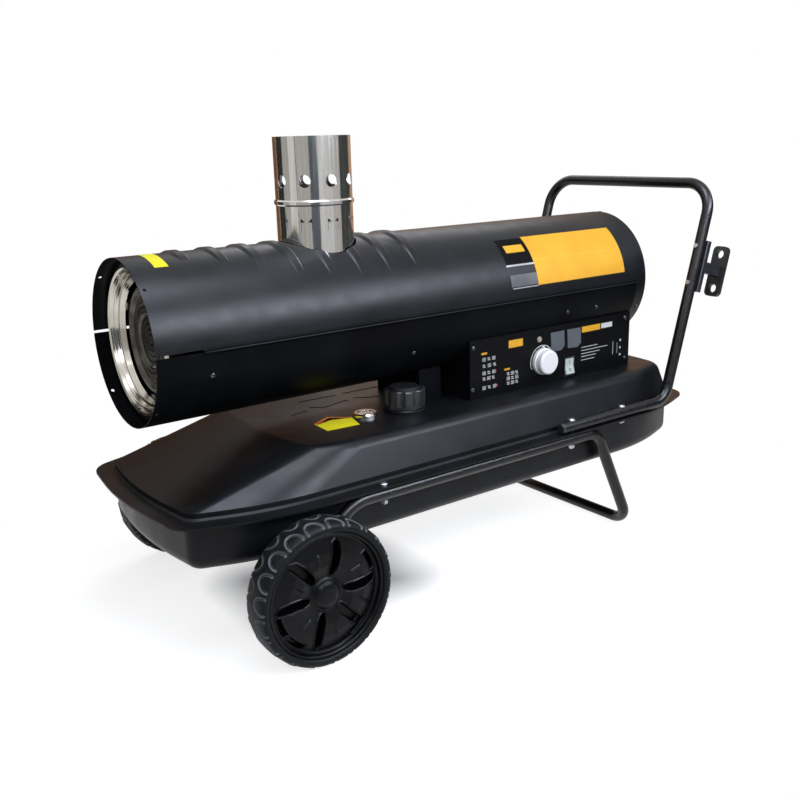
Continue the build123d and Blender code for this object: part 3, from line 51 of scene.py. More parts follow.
SLOT_OF = {part["node"]: part["material_slot"] for part in frame["record"]["subparts"]}

# %% [markdown]
# ## Sizes that the added pieces share with the solids
# Labels, screws and tyres sit on the solids, so they start from the same real sizes. They are in
# millimetres, as on a drawing, and one factor turns them into Blender's metres.

# %% Sizes from the solids, in millimetres
MM = 0.001
BARREL_R = 122.0
AXIS_Z = 446.0
TANK_TOP_Z = 283.0
PANEL_Y = -109.5
WHEEL_X = -375.0
WHEEL_R = 108.0
WHEEL_W = 50.0
WHEEL_FACE_Y = 270.0
RIM_R = 93.0
LIFT = 0.06               # film and ink stand this far off the face under them
FILM = 0.12               # thickness of a printed film
print("barrel across:", 2 * BARREL_R, "wheel across:", 2 * WHEEL_R)

# %% [markdown]
# ## Colours and nodes
# A colour is written as a hex value, as on a paint chart, and Blender's shaders want linear light.
# One function does that change. Another adds any node, with its settings and its links, so that a
# material reads as a short list of what is on the surface.

# %% Two helpers for every material
def linear(hex_colour):
    """sRGB hex to linear RGBA: each channel c is ((c + 0.055) / 1.055) to the power 2.4."""
    channels = [int(hex_colour[i:i + 2], 16) / 255 for i in (1, 3, 5)]
    curve = [c / 12.92 if c <= 0.04045 else ((c + 0.055) / 1.055) ** 2.4 for c in channels]
    return (*curve, 1.0)


def add(tree, kind, inputs=None, **settings):
    """Add one node: settings by name, and inputs by socket as a value or another node's output."""
    node = tree.nodes.new(kind)
    for name, value in settings.items():
        setattr(node, name, value)
    for name, value in (inputs or {}).items():
        if isinstance(value, bpy.types.NodeSocket):
            tree.links.new(value, node.inputs[name])
        else:
            node.inputs[name].default_value = value
    return node


print("mid grey #808080 in linear light:", round(linear("#808080")[0], 3))

# %% [markdown]
# ## The camera
# The camera was found by matching the edges of the barrel, the tank and the wheels to the picture:
# a place, three angles and a focal length, which is given here in pixels of an 800 pixel frame.

# %% Camera
CAMERA_MM = (-976.712, -1278.537, 716.077)
YAW, PITCH, ROLL = 0.626, 0.273, -0.027
FOCAL_PX = 932.671
FRAME_PX = 800


def aim(yaw, pitch, roll):
    """Camera axes as a matrix: forward from yaw and pitch, then the other two turned by the roll."""
    forward = Vector((math.sin(yaw) * math.cos(pitch), math.cos(yaw) * math.cos(pitch), -math.sin(pitch)))
    right = Vector((math.cos(yaw), -math.sin(yaw), 0.0))
    up = right.cross(forward)
    rolled_right = math.cos(roll) * right + math.sin(roll) * up
    rolled_up = -math.sin(roll) * right + math.cos(roll) * up
    return Matrix((rolled_right, rolled_up, -forward)).transposed().to_4x4()


camera_data = bpy.data.cameras.new("camera")
camera_data.sensor_width = 36.0
camera_data.lens = FOCAL_PX / FRAME_PX * camera_data.sensor_width
camera = bpy.data.objects.new("camera", camera_data)
bpy.context.scene.collection.objects.link(camera)
camera.matrix_world = Matrix.Translation([v * MM for v in CAMERA_MM]) @ aim(YAW, PITCH, ROLL)
bpy.context.scene.camera = camera
print("lens in mm:", round(camera_data.lens, 2))

# %% [markdown]
# ## The white room
# The picture has a plain white ground. The world and the floor are white only for what the camera
# and the gloss of metal and paint see. What lights the surfaces is weaker, so that a colour comes out
# about as it is written. The floor's own shading is kept under that white, so it still takes a shadow.
# On a patch between the wheels no white is added, which paints the shade there darker than the rest of the
# floor.

# %% World
WORLD_FILL = 0.2          # strength of the world as a light


def seen_directly(tree):
    """1 for rays from the camera, off gloss or through glass, and 0 for rays that carry light."""
    path = add(tree, "ShaderNodeLightPath").outputs
    first_two = {0: path["Is Camera Ray"], 1: path["Is Glossy Ray"]}
    either = add(tree, "ShaderNodeMath", first_two, operation="MAXIMUM").outputs[0]
    with_glass = {0: either, 1: path["Is Transmission Ray"]}
    return add(tree, "ShaderNodeMath", with_glass, operation="MAXIMUM").outputs[0]


world = bpy.data.worlds.new("white_room")
world.use_nodes = True
tree = world.node_tree
tree.nodes.clear()
strength = add(tree, "ShaderNodeMapRange", {
    "Value": seen_directly(tree), "To Min": WORLD_FILL, "To Max": 1.0})
glow = add(tree, "ShaderNodeBackground", {"Color": linear("#FFFFFF"), "Strength": strength.outputs[0]})
add(tree, "ShaderNodeOutputWorld", {"Surface": glow.outputs[0]})
bpy.context.scene.world = world
bpy.context.scene.view_settings.view_transform = "Standard"
print("world: white to the eye, a light of strength", WORLD_FILL)

# %% Floor
FLOOR_HALF = 9            # metres
FLOOR_GLOW = 0.72         # white added to the floor where it is seen
PAINTED_SHADE_AT = (-0.24, -0.03, 0.0)      # ground between the wheels where no white is added, a painted shade, in metres
PAINTED_SHADE_HALF = (0.09, 0.07, 0.0)
PAINTED_SHADE_EDGE = 0.1          # metres over which the added white comes in round that ground
FLOOR_FADE = (0.3, 0.6)   # metres from there between which the floor turns into plain white

floor_material = bpy.data.materials.new("white_floor")
floor_material.use_nodes = True
tree = floor_material.node_tree
tree.nodes.clear()
place = add(tree, "ShaderNodeTexCoord").outputs["Object"]
moved = add(tree, "ShaderNodeVectorMath", {0: place, 1: PAINTED_SHADE_AT}, operation="SUBTRACT").outputs[0]
apart = add(tree, "ShaderNodeVectorMath", {0: moved}, operation="ABSOLUTE").outputs[0]
beyond = add(tree, "ShaderNodeVectorMath", {0: apart, 1: PAINTED_SHADE_HALF}, operation="SUBTRACT").outputs[0]
beyond = add(tree, "ShaderNodeVectorMath", {0: beyond, 1: (0, 0, 0)}, operation="MAXIMUM").outputs[0]
distance = add(tree, "ShaderNodeVectorMath", {0: beyond}, operation="LENGTH").outputs["Value"]
far = add(tree, "ShaderNodeMapRange", {
    "Value": distance, "From Min": FLOOR_FADE[0], "From Max": FLOOR_FADE[1]},
    interpolation_type="SMOOTHSTEP").outputs[0]
seen = seen_directly(tree)
shaded = add(tree, "ShaderNodeBsdfDiffuse", {"Color": linear("#E4E4E4")})
# Nothing is added on a patch between the wheels: painted shade, which keeps the ground in their shade
# dark.
open_floor = add(tree, "ShaderNodeMapRange", {
    "Value": distance, "From Min": 0.0, "From Max": PAINTED_SHADE_EDGE, "To Min": 0.0, "To Max": FLOOR_GLOW})
near_white = add(tree, "ShaderNodeMath", {0: seen, 1: open_floor.outputs[0]}, operation="MULTIPLY")
far_white = add(tree, "ShaderNodeMapRange", {"Value": seen, "To Min": WORLD_FILL, "To Max": 1.0})
near_glow = add(tree, "ShaderNodeEmission", {"Strength": near_white.outputs[0]})
far_glow = add(tree, "ShaderNodeEmission", {"Strength": far_white.outputs[0]})
near_floor = add(tree, "ShaderNodeAddShader", {0: shaded.outputs[0], 1: near_glow.outputs[0]})
both = add(tree, "ShaderNodeMixShader", {0: far, 1: near_floor.outputs[0], 2: far_glow.outputs[0]})
add(tree, "ShaderNodeOutputMaterial", {"Surface": both.outputs[0]})

floor_mesh = bpy.data.meshes.new("floor")
floor_corners = [(FLOOR_HALF * x, FLOOR_HALF * y, 0) for x, y in ((-1, -1), (1, -1), (1, 1), (-1, 1))]
floor_mesh.from_pydata(floor_corners, [], [(0, 1, 2, 3)])
floor_mesh.materials.append(floor_material)
floor = bpy.data.objects.new("floor", floor_mesh)
bpy.context.scene.collection.objects.link(floor)
print("floor: metres across", 2 * FLOOR_HALF)

# %% [markdown]
# ## Lamps
# One soft box hangs overhead and one stands in front, and smaller ones soften the nose, the left side
# and the back. A lamp's energy is in watts, so it is worked out from how bright its face should be.

# %% Lamps
LAMPS = {                 # place, target, then width and height, all in metres, and radiance
    "overhead": ((0.1, -0.55, 1.75), (-0.05, -0.05, 0.45), (1.5, 0.5), 3.4),
    "front_box": ((0.45, -1.75, 1.35), (-0.05, -0.05, 0.4), (1.4, 0.9), 6.5),
    "nose_fill": ((-0.8, -1.95, 1.3), (-0.1, -0.1, 0.35), (1.2, 0.9), 3.0),
    "left_fill": ((-1.9, -0.7, 1.3), (-0.2, -0.1, 0.35), (0.7, 0.9), 2.2),
    "rear_edge": ((0.95, 1.25, 1.3), (0.0, 0.0, 0.4), (1.3, 0.7), 3.0),
}
HIDDEN_FROM_GLOSS = ("overhead", "front_box")       # gloss sees the soft panels below in their place
for name, (at, target, size, radiance) in LAMPS.items():
    light = bpy.data.lights.new(name, "AREA")
    light.shape = "RECTANGLE"
    light.size, light.size_y = size
    light.energy = radiance * math.pi * size[0] * size[1]
    light.color = linear("#F4F7FF")[:3]
    lamp = bpy.data.objects.new(name, light)
    lamp.visible_glossy = name not in HIDDEN_FROM_GLOSS
    bpy.context.scene.collection.objects.link(lamp)
    look = (Vector(target) - Vector(at)).to_track_quat("-Z", "Y")
    lamp.matrix_world = Matrix.Translation(at) @ look.to_matrix().to_4x4()
    print(name, "watts", round(light.energy, 1))

# %% [markdown]
# ## What gloss sees
# Bright steel and gloss paint look like what they mirror. So cards stand in a ring round the heater, as
# in a photographer's studio: greys in front, near black at the sides, and the warm brown of a workshop
# wall behind. Panels with a soft edge draw the highlights on the casing and on the tank's shoulder.
# Only gloss sees these sheets, so they put no light on matt surfaces and cast no shadow.

# %% Cards round the flue
CARD_REACH, CARD_FOOT, CARD_TOP = 1.6, 0.004, 0.95    # metres: from the flue, and height of its edges
WALL_SPAN, WALL_TOP = (0, 100), 1.25      # cards that start between these degrees are the wall behind
CARD_STEP = 3             # degrees between two points of a card
FLUE_AT = (-0.207, 0.0)   # metres
CARDS = [                 # from and to, in degrees round the flue, and the card's colour
    (13, 58, "#C9A080"), (59, 110, "#7E5638"), (111, 143, "#35332F"), (144, 166, "#B6B6B2"),
    (167, 185, "#EAEAE7"), (-172, -169, "#4A4A48"), (-168, -132, "#BFBEBA"), (-131, -106, "#586069"),
    (-105, -70, "#DEDFE1"), (-69, -39, "#C6C3C2"), (-38, 12, "#444846"),
]


def gloss_sheet(name, points, quads):
    """A sheet that only gloss sees. Returns its mesh and the empty node tree of its material."""
    mesh = bpy.data.meshes.new(name)
    mesh.from_pydata(points.reshape(-1, 3).tolist(), [], quads.tolist())
    paper = bpy.data.materials.new(name)
    paper.use_nodes = True
    paper.node_tree.nodes.clear()
    mesh.materials.append(paper)
    sheet = bpy.data.objects.new(name, mesh)
    bpy.context.scene.collection.objects.link(sheet)
    for kind in ("camera", "diffuse", "shadow", "transmission"):
        setattr(sheet, f"visible_{kind}", False)
    return mesh, paper.node_tree


def card(name, start, stop, tone):
    """Upright curved card: a row of points at its foot and one at its top, on a circle round the flue."""
    a = np.radians(np.linspace(start, stop, max(3, int((stop - start) / CARD_STEP))))
    x, y = FLUE_AT[0] + CARD_REACH * np.cos(a), FLUE_AT[1] + CARD_REACH * np.sin(a)
    top = WALL_TOP if WALL_SPAN[0] < start < WALL_SPAN[1] else CARD_TOP
    points = np.stack([np.stack([x, y, 0 * x + z], axis=-1) for z in (CARD_FOOT, top)])
    i = np.arange(len(a) - 1)
    _, tree = gloss_sheet(name, points, np.column_stack([i, i + 1, i + 1 + len(a), i + len(a)]))
    glow = add(tree, "ShaderNodeEmission", {"Color": linear(tone)})
    add(tree, "ShaderNodeOutputMaterial", {"Surface": glow.outputs[0]})


for index, (start, stop, tone) in enumerate(CARDS):
    card(f"card_{index}", start, stop, tone)
print("cards:", len(CARDS))

# %% Soft panels for the highlights
HEATER_MIDDLE = (-0.1, 0.0, 0.45)         # metres: where every panel faces
PANEL_POINTS = 25         # points along each edge of a panel
SOFT_PANELS = {           # centre, half width and height, their fall-off, in metres, and peak strength
    "soft_front": ((0.50, -1.74, 1.34), (1.5, 0.62), (0.95, 0.42), 29.0),
    "soft_nose": ((-1.0, -1.75, 1.5), (0.7, 0.5), (0.4, 0.3), 6.0),
    "soft_top": ((-0.30, -0.42, 1.95), (1.0, 0.55), (0.5, 0.3), 26.0),
}


def soft_panel(name, centre, half, spread, peak):
    """Panel facing the heater, as gloss sees a large soft box: with a across it and b up it, its glow
    is exp(-(a / spread of a) squared - (b / spread of b) squared) times the peak."""
    inward = np.array(HEATER_MIDDLE) - centre
    inward /= np.linalg.norm(inward)
    across = np.cross((0, 0, 1.0), inward)
    across /= np.linalg.norm(across)
    upward = np.cross(inward, across)
    n = PANEL_POINTS
    a, b = np.meshgrid(np.linspace(-half[0], half[0], n), np.linspace(-half[1], half[1], n), indexing="ij")
    points = centre + a[..., None] * across + b[..., None] * upward
    i = np.arange(n - 1)[:, None] * n + np.arange(n - 1)[None, :]
    quads = np.stack([i, i + n, i + n + 1, i + 1], axis=-1).reshape(-1, 4)
    mesh, tree = gloss_sheet(name, points, quads)
    glow_at = peak * np.exp(-(a / spread[0]) ** 2 - (b / spread[1]) ** 2)
    mesh.attributes.new("glow", "FLOAT", "POINT").data.foreach_set("value", glow_at.ravel())
    amount = add(tree, "ShaderNodeAttribute", attribute_name="glow").outputs["Fac"]
    glow = add(tree, "ShaderNodeEmission", {"Color": linear("#E9EFFF"), "Strength": amount})
    clear = add(tree, "ShaderNodeBsdfTransparent")
    both = add(tree, "ShaderNodeAddShader", {0: glow.outputs[0], 1: clear.outputs[0]})
    add(tree, "ShaderNodeOutputMaterial", {"Surface": both.outputs[0]})
    print(name, "peak:", peak)


for name, (centre, half, spread, peak) in SOFT_PANELS.items():
    soft_panel(name, np.array(centre), half, spread, peak)

# %% [markdown]
# ## How a finish is put together
# Every finish starts from the shader with its fixed values, and then gets what its making left on it.
# Paint and moulded plastic have fine relief, rolled and spun metal has lines, and nearly everything
# is uneven in tone or gloss. Each of these is one short function, and it works from a real size.

# %% A new finish and its patterns
def finish(name, base, roughness, fixed):
    """A new material with the shader's constant values on its own sockets."""
    material = bpy.data.materials.new(name)
    material.use_nodes = True
    shader = material.node_tree.nodes["Principled BSDF"]
    values = {"Base Color": linear(base), "Roughness": roughness, **fixed}
    for socket, value in values.items():
        shader.inputs[socket].default_value = value
    return material


def cells(material, size_mm, stretch=(1, 1, 1), detail=2.0, seed=0.0):
    """Soft noise from 0 to 1 with cells of that many millimetres, drawn out along the axes by stretch."""
    tree = material.node_tree
    per_metre = [1 / (size_mm * MM * s) for s in stretch]
    where = add(tree, "ShaderNodeTexCoord").outputs["Object"]
    laid = add(tree, "ShaderNodeMapping", {"Vector": where, "Scale": per_metre, "Location": (seed,) * 3})
    noise = add(tree, "ShaderNodeTexNoise", {"Vector": laid.outputs[0], "Scale": 1.0, "Detail": detail})
    return noise.outputs["Fac"]


def turned_lines(material, pitch_mm):
    """Rings of that pitch about the barrel's axis, as a lathe or a spinning tool leaves them."""
    tree = material.node_tree
    where = add(tree, "ShaderNodeTexCoord").outputs["Object"]
    laid = add(tree, "ShaderNodeMapping", {"Vector": where, "Location": (0, 0, -AXIS_Z * MM)})
    # A ring wave repeats every 2 pi / (20 scale) metres.
    scale = 2 * math.pi / (20 * pitch_mm * MM)
    return add(tree, "ShaderNodeTexWave", {"Vector": laid.outputs[0], "Scale": scale, "Distortion": 0.6},
               wave_type="RINGS", rings_direction="X").outputs["Fac"]


# %% What a pattern does to a surface
def relief(material, pattern, height_mm):
    """The pattern stands up by that many millimetres."""
    tree = material.node_tree
    bump = add(tree, "ShaderNodeBump", {"Height": pattern, "Distance": height_mm * MM})
    tree.links.new(bump.outputs[0], tree.nodes["Principled BSDF"].inputs["Normal"])


def tones(material, pattern, dark, light, low=0.35, high=0.65):
    """The pattern runs from one colour to the other between its low and its high value."""
    tree = material.node_tree
    ramp = add(tree, "ShaderNodeValToRGB", {"Fac": pattern})
    for stop, at, tone in zip(ramp.color_ramp.elements, (low, high), (dark, light)):
        stop.position = at
        stop.color = linear(tone)
    tree.links.new(ramp.outputs["Color"], tree.nodes["Principled BSDF"].inputs["Base Color"])


def gloss(material, pattern, smooth, rough):
    """The pattern runs from one roughness to the other."""
    tree = material.node_tree
    spread = add(tree, "ShaderNodeMapRange", {
        "Value": pattern, "From Min": 0.3, "From Max": 0.7, "To Min": smooth, "To Max": rough})
    tree.links.new(spread.outputs[0], tree.nodes["Principled BSDF"].inputs["Roughness"])


# %% [markdown]
# ## Black paint on the casing and the tank
# The casing and the tank are pressed from sheet steel and sprayed with satin stoving enamel. Seen
# close, such paint has the faint dimples of orange peel, and its gloss changes a little where it went
# on thicker. A low index keeps the flanks deep black, as the matting powder in the real paint does.

# %% Satin stoved enamel
def satin_enamel(name="satin_stoved_enamel", index=1.26):
    """Deep black with a slight blue cast, broad soft highlights and barely seen orange peel.

    A low index makes a duller copy for the lower shell, the control box and the front support: painted
    shade on parts that stand in shade.
    """
    paint = finish(name, "#0C0D10", 0.36, {"IOR": index})
    tones(paint, cells(paint, 90.0, detail=3.0), "#090A0C", "#101216")
    gloss(paint, cells(paint, 35.0, detail=4.0, seed=3.0), 0.32, 0.42)
    # Real orange peel is about 1 mm across. It is drawn at 2.5 mm, so that it shows at this distance.
    relief(paint, cells(paint, 2.5), 0.012)
    return paint


def tube_powder_coat():
    """The frame's powder coat: glossier than the enamel, with a coarser skin."""
    coat = finish("powder_coated_tube", "#090A0C", 0.3, {"IOR": 1.38})
    gloss(coat, cells(coat, 12.0, detail=3.0), 0.24, 0.36)
    relief(coat, cells(coat, 2.0), 0.014)
    return coat


FINISHES = {"black_paint": satin_enamel(), "tube_paint": tube_powder_coat()}
# A duller copy of the paint, for parts that stand in shade: painted shade.
SHADED_ENAMEL = satin_enamel("shaded_stoved_enamel", 1.1)
print("paints:", len(FINISHES) + 1)

# %% [markdown]
# ## Bright and heat-treated steel
# The flue and the outlet ring are stainless. The flue is rolled from bright sheet, so it mirrors its
# surroundings in upright bands, a little blurred across the rolling lines. The outlet ring and the
# drum behind it were spun or pressed, and keep fine rings round the axis.

# %% Bright stainless steel
def rolled_stainless():
    """Bright sheet with upright rolling lines: long bands of light and dark, never a clean mirror."""
    steel = finish("rolled_stainless_sheet", "#CFCDC9", 0.13, {"Metallic": 1.0})
    upright = cells(steel, 3.0, stretch=(1, 1, 60), detail=3.0)
    tones(steel, upright, "#C6C4C0", "#D3D1CD")
    gloss(steel, cells(steel, 5.0, stretch=(1, 1, 25), detail=2.0, seed=5.0), 0.09, 0.18)
    # The sheet was rolled on a former: shallow waves 16 mm across bend the bands.
    relief(steel, cells(steel, 16.0, stretch=(1, 1, 7), detail=1.0, seed=9.0), 0.16)
    return steel


GAP_SHADE_IN, GAP_SHADE_EDGE = 8.6, 0.6     # millimetres: how far in from the casing's radius the ring is painted black as the shade in its gap to the casing, and that edge's width


def spun_stainless():
    """Spun ring: bright, with fine rings round its axis. Its outer edge is painted black, as shade in the
    gap to the casing.
    """
    steel = finish("spun_stainless_ring", "#BDB8AE", 0.16, {"Metallic": 1.0})
    tree = steel.node_tree
    rings = turned_lines(steel, 1.4)
    gloss(steel, rings, 0.1, 0.22)
    relief(steel, rings, 0.012)
    # The outer edge is painted black: painted shade in the gap to the casing.
    where = add(tree, "ShaderNodeTexCoord").outputs["Object"]
    across = add(tree, "ShaderNodeVectorMath", {0: where, 1: (0, 1, 1)}, operation="MULTIPLY").outputs[0]
    out = add(tree, "ShaderNodeVectorMath", {0: across, 1: (0, 0, AXIS_Z * MM)}, operation="DISTANCE")
    gap_shade = add(tree, "ShaderNodeMapRange", {
        "Value": out.outputs["Value"],
        "From Min": (BARREL_R - GAP_SHADE_IN) * MM, "From Max": (BARREL_R - GAP_SHADE_IN + GAP_SHADE_EDGE) * MM})
    tones(steel, gap_shade.outputs[0], "#BDB8AE", "#08080A", 0.0, 1.0)
    return steel


FINISHES["stainless"] = rolled_stainless()
RING_STEEL = spun_stainless()
print("stainless:", FINISHES["stainless"].name, RING_STEEL.name)


# %% Heat-treated and plated steel
def scaled_steel():
    """Heat exchanger's sheet: dark brown-grey scale from the first firing, over its pressed rings."""
    steel = finish("heat_scaled_steel", "#4B4845", 0.3, {"Metallic": 1.0})
    tones(steel, cells(steel, 26.0, detail=4.0), "#37332F", "#5C5955")
    rings = turned_lines(steel, 8.0)
    gloss(steel, rings, 0.2, 0.4)
    relief(steel, rings, 0.03)
    return steel


def heat_steel():
    """Pressed heat-resisting sheet: duller and warmer, clouded where it has been hot."""
    steel = finish("pressed_heat_steel", "#98918A", 0.34, {"Metallic": 1.0})
    tones(steel, cells(steel, 30.0, detail=4.0), "#7E766D", "#A8A29A")
    gloss(steel, cells(steel, 18.0, detail=3.0, seed=4.0), 0.26, 0.42)
    relief(steel, turned_lines(steel, 2.4), 0.012)
    return steel


def zinc_plate():
    """Zinc plating on small steel parts: pale, slightly blue, cloudy."""
    steel = finish("zinc_plated_steel", "#A9ADB2", 0.36, {"Metallic": 1.0})
    tones(steel, cells(steel, 3.0, detail=3.0), "#969BA1", "#BABDC0")
    return steel


def polished_chrome():
    """Chromed rim of the fuel gauge: a clean mirror with a trace of haze."""
    chrome = finish("polished_chrome", "#DCDEE0", 0.07, {"Metallic": 1.0})
    gloss(chrome, cells(chrome, 6.0, detail=2.0), 0.05, 0.12)
    return chrome


FINISHES |= {"heat_steel": heat_steel(), "zinc_steel": zinc_plate(), "bright_chrome": polished_chrome()}
SCALED_STEEL = scaled_steel()
print("finishes so far:", len(FINISHES))

# %% [markdown]
# ## Plastics, rubber and film
# The cap, the plugs and the winder are moulded with a fine etched grain. The wheel hubs are smoother
# polypropylene. The tyres are solid rubber, dull, with a painted highlight along the edges of their
# grooves. The panel and the labels are printed film, flatter and more even than paint.

# %% Black plastics and rubber
def grained_plastic():
    """Black moulded plastic with the fine even grain of an etched tool."""
    plastic = finish("grained_black_plastic", "#1D2024", 0.34, {"IOR": 1.5})
    # Etched grain is about 0.3 mm. It is drawn at 0.9 mm, the finest that shows here.
    relief(plastic, cells(plastic, 0.9), 0.03)
    tones(plastic, cells(plastic, 20.0), "#1A1D20", "#24272B")
    return plastic


def hub_plastic():
    """Smooth polypropylene: soft sheen, faint flow marks."""
    plastic = finish("moulded_polypropylene", "#060709", 0.3, {"IOR": 1.22})
    gloss(plastic, cells(plastic, 25.0, detail=3.0), 0.24, 0.36)
    relief(plastic, cells(plastic, 3.0), 0.015)
    return plastic


def tyre_rubber():
    """Solid tyre rubber: dark grey, dull, with a dusty bloom."""
    rubber = finish("solid_tyre_rubber", "#0C0D0F", 0.5, {"IOR": 1.22})
    tree = rubber.node_tree
    tones(rubber, cells(rubber, 9.0, detail=5.0), "#0A0B0C", "#0E1011")
    # The edges of the tread's pads get a painted highlight in pale grey. Each point's attribute says how
    # near a groove's steep side it is.
    ramp = tree.nodes["Principled BSDF"].inputs["Base Color"].links[0].from_socket
    painted_sheen = add(tree, "ShaderNodeAttribute", attribute_name="painted_sheen").outputs["Fac"]
    mixed = add(tree, "ShaderNodeMix", {"Factor": painted_sheen}, data_type="RGBA")
    tree.links.new(ramp, mixed.inputs["A"])
    mixed.inputs["B"].default_value = linear("#6C7176")
    tree.links.new(mixed.outputs["Result"], tree.nodes["Principled BSDF"].inputs["Base Color"])
    relief(rubber, cells(rubber, 1.2, detail=4.0), 0.04)
    return rubber


def seal_rubber():
    """Soft sealing rubber: even and dull."""
    rubber = finish("sealing_rubber", "#161616", 0.7, {"IOR": 1.5})
    relief(rubber, cells(rubber, 0.8), 0.02)
    return rubber


FINISHES |= {"black_plastic": grained_plastic(), "wheel_plastic": hub_plastic()}
FINISHES |= {"rubber_tread": tyre_rubber(), "seal_rubber": seal_rubber()}
print("finishes so far:", len(FINISHES))


# %% Pale and clear mouldings
def white_abs():
    """Glossy white moulding, a trace cool."""
    plastic = finish("white_abs_knob", "#F3F4F8", 0.3, {"IOR": 1.5})
    gloss(plastic, cells(plastic, 8.0, detail=2.0), 0.26, 0.36)
    relief(plastic, cells(plastic, 1.0), 0.006)
    return plastic


def pale_rocker():
    """Translucent rocker: pale grey-green with a soft gloss."""
    plastic = finish("pale_switch_rocker", "#C3CFCC", 0.28, {"IOR": 1.5})
    tones(plastic, cells(plastic, 7.0), "#BBC8C6", "#CBD5D3")
    return plastic


def lamp_lens():
    """Unlit moulded lens: clear over a pale reflector, slightly amber."""
    lens = finish("unlit_lamp_lens", "#A59A88", 0.12, {"IOR": 1.49})
    relief(lens, cells(lens, 1.2), 0.05)
    return lens


def clear_window():
    """Clear moulded window over the gauge."""
    window = finish("clear_gauge_window", "#F2F4F4", 0.03, {"IOR": 1.49, "Transmission Weight": 1.0})
    gloss(window, cells(window, 10.0), 0.02, 0.06)
    return window


FINISHES |= {"white_plastic": white_abs(), "switch_white": pale_rocker()}
FINISHES |= {"amber_lens": lamp_lens(), "clear_window": clear_window()}
print("finishes so far:", len(FINISHES))


# %% Films and inks
def panel_film():
    """Black printed film on the panel: a fine velvet texture, more even than the paint round it."""
    film = finish("black_panel_film", "#090A0C", 0.34, {"IOR": 1.17})
    relief(film, cells(film, 0.8), 0.008)
    return film


def printed_film(name, colour, darker, roughness=0.5, index=1.3):
    """Vinyl film with one printed colour, slightly uneven where it lies on the sheet."""
    film = finish(name, colour, roughness, {"IOR": index})
    tones(film, cells(film, 45.0, detail=2.0), darker, colour, 0.25, 0.6)
    relief(film, cells(film, 6.0), 0.01)
    return film


FINISHES["panel_black"] = FINISHES["grey_plastic"] = panel_film()
print("finishes so far:", len(FINISHES))

# %% [markdown]
# ## The works inside
# Little of the inside shows, through the mouth and the slots of the rear cover, but each piece still
# gets the finish that it has in such a heater: grey enamel on the motor, cast aluminium on the pump
# and the fan, glazed ceramic, lacquered board, drawn copper.

# %% Finishes of the inner pieces
def motor_enamel():
    """Grey machine enamel."""
    paint = finish("grey_machine_enamel", "#5C6063", 0.4, {"IOR": 1.45})
    relief(paint, cells(paint, 2.0), 0.02)
    return paint


def cast_aluminium():
    """Die-cast aluminium: pale and satin, with the tool's fine frost."""
    metal = finish("die_cast_aluminium", "#B4B5B6", 0.42, {"Metallic": 1.0})
    relief(metal, cells(metal, 1.0, detail=3.0), 0.03)
    tones(metal, cells(metal, 14.0), "#A3A4A6", "#BFC0C0")
    return metal


def glazed_ceramic():
    """Glazed insulator: warm white and glossy."""
    glaze = finish("glazed_ceramic", "#DDD8CB", 0.16, {"IOR": 1.52})
    tones(glaze, cells(glaze, 5.0), "#D4CEC0", "#E4DFD3")
    return glaze


def lacquered_board():
    """Circuit board under green lacquer."""
    board = finish("lacquered_circuit_board", "#1F5A36", 0.35, {"IOR": 1.5})
    tones(board, cells(board, 2.5, detail=1.0), "#17492B", "#2A6E44", 0.45, 0.55)
    return board


def drawn_copper():
    """Drawn copper tube, lightly tarnished."""
    copper = finish("drawn_copper_tube", "#B87A58", 0.3, {"Metallic": 1.0})
    tones(copper, cells(copper, 12.0, detail=4.0), "#96603F", "#C58A67")
    return copper


def pointer_paint():
    """Orange painted pointer."""
    paint = finish("orange_pointer_paint", "#D9501E", 0.5, {"IOR": 1.45})
    relief(paint, cells(paint, 0.6), 0.01)
    return paint


def filter_bowl():
    """Moulded bowl of the filter, yellowed by fuel."""
    bowl = finish("moulded_filter_bowl", "#C9C19D", 0.2, {"IOR": 1.5})
    tones(bowl, cells(bowl, 8.0), "#BDB48C", "#D3CCAD")
    return bowl


FINISHES |= {"motor_grey": motor_enamel(), "aluminium_cast": cast_aluminium()}
FINISHES |= {"ceramic": glazed_ceramic(), "board_green": lacquered_board(), "copper_line": drawn_copper()}
FINISHES |= {"pointer_orange": pointer_paint(), "clear_bowl": filter_bowl()}
print("finishes:", len(FINISHES))

# %% [markdown]
# ## Dressing the solids
# The record says which finish each solid has. Building every finish once and handing it out by that
# list keeps the two in step. A few solids get their own: the outlet ring and the heat exchanger were
# made another way, and the lower shell, the control box and the front support take a duller copy of
# the paint, a painted shade.

# %% Finishes handed out to the solids
OWN_FINISH = {
    "outlet_ring": RING_STEEL, "heat_exchanger": SCALED_STEEL,
    # These three take the duller copy of the paint as painted shade.
    "lower_shell": SHADED_ENAMEL, "control_box": SHADED_ENAMEL, "front_support": SHADED_ENAMEL,
}
for name, node in NODES.items():
    node.data.materials.clear()
    node.data.materials.append(OWN_FINISH.get(name, FINISHES[SLOT_OF[name]]))
print("solids dressed:", len(NODES), "with a finish of their own:", len(OWN_FINISH))

# %% [markdown]
# ## Surfaces from arrays
# The added pieces are surfaces worked out on a grid of two parameters. A grid becomes a mesh by
# joining each point to its neighbours. Films are closed slabs: a front grid, a back grid and a rim. A
# last step turns the faces outward if the enclosed volume comes out negative.

# %% Faces of a grid
def grid_faces(rows, cols, close_rows=False, close_cols=False):
    """Four-sided faces of a grid of points. A closed direction joins its last line to its first."""
    r = np.arange(rows if close_rows else rows - 1)[:, None]
    c = np.arange(cols if close_cols else cols - 1)[None, :]
    r2, c2 = (r + 1) % rows, (c + 1) % cols
    return np.stack([r * cols + c, r2 * cols + c, r2 * cols + c2, r * cols + c2], axis=-1).reshape(-1, 4)


def outward(points, faces):
    """The same faces, all turned round if the volume that they enclose is negative."""
    a, b, c, d = (points[faces[:, i]] for i in range(4))
    volume = (a * np.cross(b, c)).sum() + (a * np.cross(c, d)).sum()
    return faces if volume > 0 else faces[:, ::-1]


print("faces of a grid of 3 by 4 points:", len(grid_faces(3, 4)))


